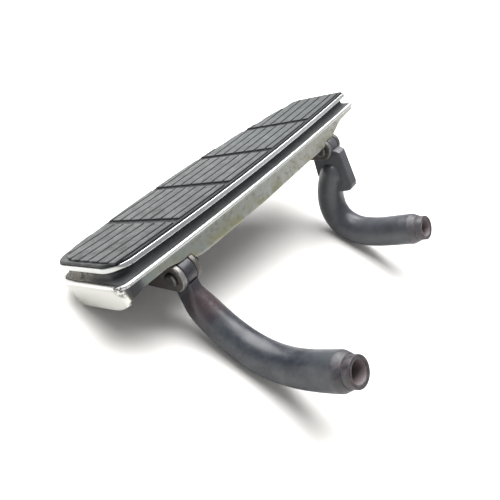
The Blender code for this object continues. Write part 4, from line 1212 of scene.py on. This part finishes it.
@dataclass
class BaseCasting:
    """The cast board: a polished bead, a skirt of changing depth, a deck and the bosses under it."""

    deck_thickness: float = 3 * MM
    bead_top: float = -14.4 * MM
    bead_bottom: float = -17.4 * MM
    bead_rounds: Point = (1.1 * MM, 1.5 * MM, 0.9 * MM)
    setback: float = 1.1 * MM
    wall: float = 3.2 * MM
    foot_round: float = 0.8 * MM
    boss_radius: float = 9.5 * MM
    boss_hole: float = 4.3 * MM
    boss_bottom: float = -26 * MM
    boss_sides: Pair = (-19 * MM, 19 * MM)
    boss_y: float = 31 * MM
    hinge_half: float = 11.1 * MM
    clearances: Pair = (12.5 * MM, 11.1 * MM)
    cap_fade: Pair = (3.5, 2.2)
    outer_cap_fade: Pair = (22, 6)
    # corner_fade, shade_fade and shade set the painted dark reflection beside the rear corner.
    corner_fade: Pair = (0.62, 0.16)
    shade_fade: Pair = (17, 5)
    shade: float = 0.7

    def edge_heights(self) -> Array:
        """Height of the skirt's lower edge under each point, read from the four sides' tables.

        Returns:
            One height for each point of an outline, with the tables' corners softened by a moving mean.
        """
        plan = PLAN.outline(base_margin(0))
        labels = PLAN.labels()
        x, y = plan[:, 0] / MM, plan[:, 1] / MM
        sides = [labels == 0, (labels == 1) | (labels == 2), (labels >= 3) & (labels <= 5)]
        heights = [read(INNER_EDGE, x), read(FRONT_EDGE, y), read(OUTER_EDGE, x)]
        heights = np.select(sides, heights, read(REAR_EDGE, y))
        for _ in range(2):
            heights = 0.25 * np.roll(heights, 1) + 0.5 * heights + 0.25 * np.roll(heights, -1)
        face = PLAN.outline(base_margin(self.setback))
        least = self.least_height(face[:, 0], face[:, 1]) - PLAN.dip(face[:, 0])
        return np.where(labels == 0, np.maximum(heights * MM, least), heights * MM)

    def relieve(self, points: Array) -> Array:
        """Lifts points near a hinge until they clear the ears and the eye."""
        local = points - BOARD_TO_MODEL
        least = self.least_height(local[..., 0], local[..., 1])
        local[..., 2] = np.maximum(local[..., 2], least)
        return local + BOARD_TO_MODEL

    def least_height(self, x: Array, y: Array) -> Array:
        """Lowest height that clears the ears and the eye: the upper half of a circle about each hinge's axis.

        Args:
            x: places along the board.
            y: places across it.

        Returns:
            The height in the board's frame, far below the board away from the hinges.
        """
        least = np.full(np.shape(x), -1.0)
        for hinge, clear in zip((REAR_HINGE, FRONT_HINGE), self.clearances):
            rise = np.sqrt(np.maximum(clear**2 - (y - PIVOT[0]) ** 2, 0))
            near = (np.abs(x - hinge) < self.hinge_half) & (rise > 0)
            least = np.where(near, PIVOT[1] + rise, least)
        return least

    def build(self, finish: bpy.types.Material) -> bpy.types.Object:
        """Builds the casting as rings from the deck over the bead, down the skirt and back under the deck.

        Args:
            finish: the cast alloy.

        Returns:
            The piece.
        """
        rings: list[Array] = []
        marks: list[float] = []

        def row(inset: float, height: Array | float, draft: float = 0.0, mark: float = 0.0) -> None:
            rings.append(PLAN.ring(base_margin(inset, draft), height))
            marks.append(mark)

        def bead_rows(centre: Pair, radius: float, start: float, end: float, count: int) -> None:
            for inset, height in arc(centre, radius, start, end, count):
                rings.append(PLAN.ring(base_margin(inset), height, crowned=True))
                marks.append(1.0)

        top, bottom = self.bead_top, self.bead_bottom
        inner, outer, lower = self.bead_rounds
        row(BEAD_WIDTH + 1.0 * MM, DECK_TOP)
        row(BEAD_WIDTH + 0.2 * MM, DECK_TOP + 0.4 * MM)
        bead_rows((BEAD_WIDTH - inner, top - inner), inner, 0, QUARTER, 4)
        bead_rows((outer, top - outer), outer, QUARTER, math.pi, 6)
        bead_rows((lower, bottom + lower), lower, math.pi, 3 * QUARTER, 4)

        skirt_from = len(rings)
        face, inside = self.setback, self.setback + self.wall
        edge = self.edge_heights()
        skirt_top = bottom - 0.5 * MM + PLAN.crown(PLAN.outline(base_margin(face))[:, 0])
        skirt_foot = edge + self.foot_round
        row(face, skirt_top)
        for share in np.linspace(0, 1, 9)[1:-1]:
            row(face, skirt_top + (skirt_foot - skirt_top) * share, share)
        row(face, skirt_foot, 1)
        row(face + 0.25 * MM, edge + 0.22 * MM, 1, 0.3)
        row(face + self.foot_round, edge, 1, 0.3)
        # From the inner edge of the foot on, the inside is marked below 0 for painted shade.
        row(inside - self.foot_round, edge, 1, -0.6)
        skirt_to = len(rings)

        deck_under = DECK_TOP - self.deck_thickness
        row(inside, skirt_foot, 1, -1)
        for share in (0.35, 0.7):
            height = skirt_foot + (deck_under - 1.2 * MM - edge) * share
            row(inside + GAP * share, np.minimum(height, deck_under - 0.1 * MM), 1, -1)
        row(inside + GAP + 1.0 * MM, deck_under, 1, -1)
        under, low = PLAN.closing_rings(base_margin(inside + GAP + 1.0 * MM, 1), deck_under)
        over, high = PLAN.closing_rings(base_margin(BEAD_WIDTH + 1.0 * MM), DECK_TOP)
        shells = Shells()
        values = [0.0] * len(over) + marks + [-1.0] * len(under)
        shells.add_rings(self.relieve(np.array(over[::-1] + rings + under)), high, low, np.array(values))
        self.polish_rear_cap(shells.marks[0], slice(len(over) + skirt_from, len(over) + skirt_to))
        self.add_bosses(shells)
        piece = shells.piece("base_board_skin", Slot.CASTING, Body.BOARD, finish)
        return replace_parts(piece, "base_board")

    def polish_rear_cap(self, marks: Array, skirt: slice) -> None:
        """Marks the rear end of the skirt as polished, and paints its inner side beside the corner dark as a
        painted dark reflection.

        Each fade is an end and a span in millimetres along the board, or in shares of the corner's turn.

        Args:
            marks: the board's marks, changed in place; the last two belong to its closing points.
            skirt: the skirt's rings.
        """
        labels = PLAN.labels()
        along = PLAN.outline(base_margin(0))[:, 0] / MM
        level = CAP_MARK * fading(along, *self.cap_fade)
        level = np.where(labels >= 6, CAP_MARK * fading(along, *self.outer_cap_fade), level)
        # The corner turns from polish to painted dark reflection.
        corner = labels == 8
        turn = fading(np.linspace(0, 1, corner.sum()), *self.corner_fade) * (1 + self.shade) - self.shade
        level[corner] = np.where(turn > 0, CAP_MARK * turn, turn)
        # Painted dark reflection on the inner side, fading out along the board.
        level = np.where(labels == 0, -self.shade * fading(along, *self.shade_fade), level)
        rings = marks[:-2].reshape(-1, len(labels))
        rings[skirt] = np.where(level != 0, level, rings[skirt])

    def add_bosses(self, shells: Shells) -> None:
        """Adds the four bosses: turned rods with a rounded foot, a fillet at the root and a blind hole."""
        outer, hole, ease = self.boss_radius, self.boss_hole, 0.5 * MM
        profile = [(outer + 2 * MM, 5.9 * MM), (outer + ease, 4.6 * MM), (outer, 3.2 * MM), (outer, ease)]
        profile += [(outer - ease, 0), (hole + ease, 0), (hole, ease), (hole, 5.3 * MM)]
        for hinge in (REAR_HINGE, FRONT_HINGE):
            for side in self.boss_sides:
                foot = np.array([hinge + side, self.boss_y, self.boss_bottom]) + BOARD_TO_MODEL
                add_turned(shells, np.array(profile), foot, 40)


def smooth_path(stations: Array, steps: int) -> Array:
    """A smooth curve: each stretch is the cubic through its two stations with slopes from their neighbours.

    Args:
        stations: rows of numbers that change together.
        steps: points in each stretch.

    Returns:
        The curve's rows, the last station included.
    """
    padded = np.vstack((stations[:1], stations, stations[-1:]))
    t = np.arange(steps)[None, :, None] / steps
    a, b, c, d = (padded[k : k + len(stations) - 1, None, :] for k in range(4))
    curve = 0.5 * (2 * b + (c - a) * t + (2 * a - 5 * b + 4 * c - d) * t**2 + (3 * b - a - 3 * c + d) * t**3)
    return np.vstack((curve.reshape(-1, stations.shape[1]), stations[-1:]))


def sweep_rings(hinge_x: float, path: Array, tangents: Array, count: int) -> Array:
    """Rings square to a path in the plane of a hinge.

    Each ring's section is a signed power of the cosine and sine, times half the thickness and half the width.

    Args:
        hinge_x: the plane's place along X.
        path: rows of Y, Z, half width, half thickness and roundness.
        tangents: unit vectors in Y and Z.
        count: points in a ring.

    Returns:
        The rings in the board's frame.
    """
    angles = 2 * np.pi * (np.arange(count) + 0.5) / count
    cosine, sine = np.cos(angles), np.sin(angles)
    power = path[:, 4:5]
    side = np.sign(cosine) * np.abs(cosine) ** power * path[:, 3:4]
    reach = np.sign(sine) * np.abs(sine) ** power * path[:, 2:3]
    y = path[:, 0:1] - tangents[:, 1:2] * reach
    z = path[:, 1:2] + tangents[:, 0:1] * reach
    return np.stack((hinge_x + side, y, z), axis=-1)


def reach_of_polygon(corners: Array, angles: Array) -> Array:
    """Distance from the origin to the outermost side of a polygon, by crossing each ray with each side."""
    start, end = corners, np.roll(corners, -1, axis=0)
    along = end - start
    ray = np.stack((np.cos(angles), np.sin(angles)), axis=-1)[:, None, :]
    cross = ray[..., 0] * along[:, 1] - ray[..., 1] * along[:, 0]
    cross = np.where(np.abs(cross) < 1e-12, 1e-12, cross)
    distance = (start[:, 0] * along[:, 1] - start[:, 1] * along[:, 0]) / cross
    share = (start[:, 0] * ray[..., 1] - start[:, 1] * ray[..., 0]) / cross
    valid = (distance > 0) & (share >= -1e-9) & (share <= 1 + 1e-9)
    return np.where(valid, distance, 0).max(axis=1)


def angles_with(corners: Array, count: int) -> Array:
    """Angles evenly round a circle, with three more at each corner of a polygon, so that it stays crisp."""
    turns = np.arctan2(corners[:, 1], corners[:, 0])
    even = np.linspace(0, 2 * np.pi, count, endpoint=False)
    return np.unique(np.mod(np.concatenate((even, turns - 0.012, turns, turns + 0.012)), 2 * np.pi))


def holed_plate(
    middle_x: float, half: float, reach: Array, angles: Array, edge: float
) -> tuple[Array, Array]:
    """Rings of a plate with a hole for the pin: each goes once round it at one place of the plate's section.

    Args:
        middle_x: place of the plate's middle along X.
        half: half the thickness.
        reach: distance from the pin's axis to the outline at each angle.
        angles: the angles.
        edge: radius of the rounded outer edge.

    Returns:
        The rings, of which the last joins the first, and a mark for each that is 1 on the rounded edge.
    """
    lip = 0.5 * MM
    hole = [(PIN_HOLE, lip - half), (PIN_HOLE + lip, -half)]
    outer = [(-edge - 0.4 * MM, -half)] + arc((-edge, edge - half), edge, -QUARTER, 0, 4).tolist()
    rows = [(np.full_like(reach, radius), x, 0.0) for radius, x in hole]
    rows += [(reach + inset, x, 1.0 if k else 0.0) for k, (inset, x) in enumerate(outer)]
    rows += [(radius, -x, mark) for radius, x, mark in reversed(rows)]
    rings = []
    for radius, x, _ in rows:
        y, z = PIVOT[0] + radius * np.cos(angles), PIVOT[1] + radius * np.sin(angles)
        rings.append(np.column_stack((np.full_like(y, middle_x + x), y, z)))
    return np.array(rings), np.array([mark for _, _, mark in rows])


REAR_STATIONS = (
    (4.1, -45.4, 10.2, 5.76, 0.3),
    (4.2, -48, 10.4, 5.78, 0.3),
    (3.6, -55, 10.6, 6.2, 0.4),
    (2, -61, 11.4, 8.2, 0.6),
    (-0.6, -67.5, 12.4, 11, 0.85),
    (-4, -74, 13, 12.7, 1),
    (-11.9, -84.8, 13.2, 13.2, 1),
    (-21.5, -95.5, 13.6, 13.6, 1),
    (-34.5, -106.2, 14.1, 14.1, 1),
    (-50.5, -114.2, 14.4, 14.4, 1),
    (-68.7, -117.8, 14.7, 14.7, 1),
    (-86, -117.8, 15, 15, 1),
    (-102, -115.9, 15.3, 15.3, 1),
)
FRONT_STATIONS = (
    (6, -67, 13, 13, 1),
    (11, -76, 13.3, 13.3, 1),
    (15.4, -86, 13.6, 13.6, 1),
    (18, -97.5, 14, 14, 1),
    (18, -109, 14.4, 14.4, 1),
    (14, -120.5, 14.6, 14.6, 1),
    (5, -129.5, 14.8, 14.8, 1),
    (-7.5, -134.8, 15, 15, 1),
    (-24, -136.6, 15.1, 15.1, 1),
    (-40, -136, 15.2, 15.2, 1),
    (-53, -134.9, 15.3, 15.3, 1),
)
HEEL = ((-6, 6.9), (22, 6.9), (22, 0.9), (10.4, -12.2), (-6, -9.8))
BLADE = ((-11.2, -4.9), (-14.3, -5.1), (-16.2, -6.6), (-16.6, -9.5), (-18.7, -41.5), (-17.4, -45.6))
BLADE += ((-14.4, -47.6), (-10, -48), (8.5, -48), (17, -28.5), (16.25, -12.2), (12.2, 0))
BORED_END = ((14, 15.3), (13.2, 15.2), (12.4, 14.9), (7.2, 12.7), (6.9, 12.3), (6.7, 11.9), (0.7, 11.9))
BORED_END += ((0.2, 11.7), (0, 11.3), (0, 9.3), (0.3, 8.8), (0.9, 8.3), (12, 8.3), (24, 8.3))


def round_rows(end: Array, axis: Array, back: Array, radius: Array) -> Array:
    """Rows of a path for a round stretch, at distances back along an axis from its end."""
    return np.column_stack((end - back[:, None] * axis, radius, radius, np.ones_like(radius)))


@dataclass
class SupportArm:
    """A forged arm: an eye with a stop heel, a bent round bar and a necked, bored end."""

    end: str
    body: Body
    hinge_x: float
    stations: tuple[tuple[float, ...], ...]
    tip: Pair
    blade: bool = False
    slimmer: float = 0.983
    half: float = 5.7 * MM
    eye_radius: float = 11.6 * MM
    eye_edge: float = 0.9 * MM
    blade_edge: float = 1.4 * MM
    edge_wear: float = 0.15
    bore_point: float = 28 * MM

    def bar(self, shells: Shells) -> None:
        """Adds the bar: rings along the stations, then the cone, the neck, the end face and the bore.

        Args:
            shells: the arm's shells.
        """
        scale = np.array([MM, MM, MM * self.slimmer, MM * self.slimmer, 1.0])
        path = smooth_path(np.array(self.stations) * scale, 5)
        tip = np.array(self.tip)
        axis = tip - path[-1, :2]
        axis /= np.linalg.norm(axis)
        steps = np.gradient(path[:, :2], axis=0)
        steps[-1] = axis
        tangents = steps / np.linalg.norm(steps, axis=1, keepdims=True)
        rows, turns, start = [path], [tangents], path[0, :2]
        if self.blade:
            dome, wide = np.radians(np.arange(12, 90, 13)), path[0, 2]
            rows.insert(0, round_rows(start, tangents[0], wide * np.cos(dome), wide * np.sin(dome)))
            turns.insert(0, np.repeat(tangents[:1], len(dome), axis=0))
            start = start - tangents[0] * wide
        shape = np.array(BORED_END) * MM * np.array([1.0, self.slimmer])
        rows.append(round_rows(tip, axis, shape[:, 0], shape[:, 1]))
        turns.append(np.repeat(axis[None], len(shape), axis=0))
        rings = sweep_rings(self.hinge_x, np.vstack(rows), np.vstack(turns), 64)
        marks = np.zeros(len(rings))
        marks[1 - len(shape) :] = np.linspace(0.4, 1, len(shape) - 1)
        # The bore's rings get the bore mark, which paints light into the bore.
        marks[-3:] = BORE_MARK
        first = np.array([self.hinge_x, *start]) + BOARD_TO_MODEL
        last = np.array([self.hinge_x, *(tip - axis * self.bore_point)]) + BOARD_TO_MODEL
        shells.add_rings(rings + BOARD_TO_MODEL, first, last, marks)

    def eye(self, shells: Shells) -> None:
        """Adds the eye plate, whose outline is the farthest of the eye's circle, the heel and the blade.

        Args:
            shells: the arm's shells.
        """
        shapes = [np.array(HEEL) * MM] + ([np.array(BLADE) * MM] if self.blade else [])
        angles = angles_with(np.concatenate(shapes), 180)
        reach = np.full_like(angles, self.eye_radius)
        for shape in shapes:
            reach = np.maximum(reach, reach_of_polygon(shape, angles))
        edge = self.blade_edge if self.blade else self.eye_edge
        rings, marks = holed_plate(self.hinge_x, self.half, reach, angles, edge)
        shells.add_rings(rings + BOARD_TO_MODEL, None, None, marks * self.edge_wear)

    def build(self, finish: bpy.types.Material) -> bpy.types.Object:
        """Builds the arm from its eye plate and its bar.

        Args:
            finish: the worn paint.

        Returns:
            The piece.
        """
        shells = Shells()
        self.eye(shells)
        self.bar(shells)
        piece = shells.piece(f"{self.end}_arm_skin", Slot.PAINT, self.body, finish, 40)
        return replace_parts(piece, f"{self.end}_arm")


@dataclass
class Studio:
    """The table, the lamp, the surroundings and the camera."""

    table_normal: Point = (0.1865, -0.5668, 0.8025)
    table_offset: float = -0.06194
    table_half: float = 4.0
    table_colour: Colour = (0.87, 0.86, 0.84)
    glow_reach: Pair = (0.45, 1.2)
    glow_strengths: Pair = (0.035, 0.9)
    lamp_target: Point = (0.11, 0.13, 0.06)
    lamp_direction: Point = (0.38, -0.21, 1.0)
    lamp_distance: float = 1.5
    lamp_side: float = 1.8
    lamp_watts: float = 80
    world_colour: Colour = (0.99, 0.98, 0.96)
    world_strength: float = 0.38
    mirrored_colour: Colour = (0.95, 0.97, 1.0)
    mirrored_strength: float = 0.7
    lens: float = 42.58
    eye_point: Point = (-0.2419, -0.2016, 0.2468)
    eye_right: Point = (0.5666, -0.7479, -0.3459)
    eye_up: Point = (0.5294, 0.0087, 0.8483)
    eye_back: Point = (-0.6315, -0.6637, 0.4009)

    def table(self) -> None:
        """Builds the white table as one sheet that is seen only from above."""
        normal = Vector(self.table_normal).normalized()
        turn = normal.to_track_quat("Z", "Y").to_matrix()
        corners = [(x * self.table_half, y * self.table_half) for x, y in ((-1, -1), (1, -1), (1, 1), (-1, 1))]
        points = [normal * self.table_offset + turn @ Vector((x, y, 0)) for x, y in corners]
        mesh = bpy.data.meshes.new("table")
        mesh.from_pydata([tuple(p) for p in points], [], [(0, 1, 2, 3)])
        mesh.materials.append(self.table_material())
        obj = bpy.data.objects.new("table", mesh)
        bpy.context.scene.collection.objects.link(obj)

    def table_material(self) -> bpy.types.Material:
        """Makes matt white that glows more the farther it is from the part, and is clear from below.

        Returns:
            The material.
        """
        material = bpy.data.materials.new("white_table")
        material.use_nodes = True
        tree = material.node_tree
        pen = NodePen(tree)
        shader = tree.nodes["Principled BSDF"]
        shader.inputs["Base Color"].default_value = (*self.table_colour, 1)
        shader.inputs["Roughness"].default_value = 1.0
        shader.inputs["Specular IOR Level"].default_value = 0.0
        place = pen.node("ShaderNodeNewGeometry").outputs["Position"]
        away = pen.node("ShaderNodeVectorMath", {0: place}, operation="LENGTH").outputs["Value"]
        strength = pen.ramp(away, *self.glow_reach, *self.glow_strengths)
        glow = pen.node("ShaderNodeEmission", {"Color": (1, 1, 1, 1), "Strength": strength})
        both = pen.node("ShaderNodeAddShader", {0: shader.outputs[0], 1: glow.outputs[0]})
        rays = pen.node("ShaderNodeLightPath").outputs
        seen = pen.math("MAXIMUM", rays["Is Camera Ray"], rays["Is Glossy Ray"])
        seen = pen.math("MAXIMUM", seen, rays["Is Transmission Ray"])
        lit = pen.node("ShaderNodeMixShader", {0: seen, 1: shader.outputs[0], 2: both.outputs[0]})
        clear = pen.node("ShaderNodeBsdfTransparent")
        under = pen.node("ShaderNodeNewGeometry").outputs["Backfacing"]
        side = pen.node("ShaderNodeMixShader", {0: under, 1: lit.outputs[0], 2: clear.outputs[0]})
        tree.links.new(side.outputs[0], tree.nodes["Material Output"].inputs["Surface"])
        return material

    def lamp(self) -> None:
        """Adds a soft square lamp above the object, which faces it."""
        data = bpy.data.lights.new("ceiling", "AREA")
        data.size = self.lamp_side
        data.energy = self.lamp_watts
        obj = bpy.data.objects.new("ceiling", data)
        way = Vector(self.lamp_direction).normalized()
        obj.location = Vector(self.lamp_target) + way * self.lamp_distance
        obj.rotation_euler = way.to_track_quat("Z", "Y").to_euler()
        bpy.context.scene.collection.objects.link(obj)

    def surroundings(self) -> None:
        """Sets a white world that shows as white and lights the object softly."""
        world = bpy.data.worlds.new("white_room")
        bpy.context.scene.world = world
        world.use_nodes = True
        tree = world.node_tree
        pen = NodePen(tree)
        soft = tree.nodes["Background"]
        soft.inputs["Color"].default_value = (*self.world_colour, 1)
        soft.inputs["Strength"].default_value = self.world_strength
        white = pen.node("ShaderNodeBackground", {"Color": (1, 1, 1, 1), "Strength": 1.0})
        inputs = {"Color": (*self.mirrored_colour, 1), "Strength": self.mirrored_strength}
        walls = pen.node("ShaderNodeBackground", inputs)
        rays = pen.node("ShaderNodeLightPath").outputs
        inputs = {0: rays["Is Glossy Ray"], 1: soft.outputs[0], 2: walls.outputs[0]}
        lit = pen.node("ShaderNodeMixShader", inputs)
        inputs = {0: rays["Is Camera Ray"], 1: lit.outputs[0], 2: white.outputs[0]}
        mixed = pen.node("ShaderNodeMixShader", inputs)
        tree.links.new(mixed.outputs[0], tree.nodes["World Output"].inputs["Surface"])

    def camera(self) -> None:
        """Puts the camera at the photograph's viewpoint."""
        data = bpy.data.cameras.new("camera")
        data.sensor_fit = "HORIZONTAL"
        data.sensor_width = 36
        data.lens = self.lens
        data.clip_start = 0.01
        data.clip_end = 20
        obj = bpy.data.objects.new("camera", data)
        turn = Matrix((self.eye_right, self.eye_up, self.eye_back)).transposed().to_4x4()
        obj.matrix_world = Matrix.Translation(self.eye_point) @ turn
        bpy.context.scene.collection.objects.link(obj)
        bpy.context.scene.camera = obj

    def build(self) -> None:
        """Builds the stage, the light and the camera."""
        self.table()
        self.surroundings()
        self.lamp()
        self.camera()
        bpy.context.scene.view_settings.view_transform = "Standard"


def dress_solids(finishes: dict[Slot, bpy.types.Material]) -> None:
    """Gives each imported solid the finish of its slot.

    Args:
        finishes: one material for each slot.
    """
    for part in frame["record"]["subparts"]:
        obj = frame["nodes"][part["node"]]
        obj.data.materials.clear()
        obj.data.materials.append(finishes[Slot(part["material_slot"])])
        LOG.info("%s: solid dressed as %s", part["node"], part["material_slot"])


def main() -> None:
    """Builds the finishes, the pieces and the studio in order."""
    logging.basicConfig(level=logging.INFO, format="%(message)s")
    shelf = GroupShelf()
    finishes = {
        Slot.TREAD: TreadRubber().build(shelf),
        Slot.DAMPER: DamperRubber().build(shelf),
        Slot.PLATING: Plating().build(shelf),
        Slot.CASTING: CastAluminium().build(shelf),
        Slot.PAINT: WornPaint().build(shelf),
        Slot.STEEL: DullSteel().build(shelf),
    }
    dress_solids(finishes)
    TreadPad().build(finishes[Slot.TREAD])
    bracket_finish = BracketSteel().build(shelf)
    HingeBracket("rear", REAR_HINGE).build(bracket_finish)
    HingeBracket("front", FRONT_HINGE, (0.5, 0.2), ear_radius=10.4 * MM).build(bracket_finish)
    tread = TreadSet()
    tread.build_plate(finishes[Slot.PLATING])
    tread.build_mat(finishes[Slot.DAMPER])
    BaseCasting().build(finishes[Slot.CASTING])
    rear_tip = (-127 * MM, -111.9 * MM)
    front_tip = (-78.2 * MM, -133 * MM)
    SupportArm("rear", Body.REAR_ARM, REAR_HINGE, REAR_STATIONS, rear_tip).build(finishes[Slot.PAINT])
    front = SupportArm(
        "front", Body.FRONT_ARM, FRONT_HINGE, FRONT_STATIONS, front_tip, blade=True, eye_radius=10.2 * MM
    )
    front.build(finishes[Slot.PAINT])
    Studio().build()


if __name__ == "__main__":
    main()
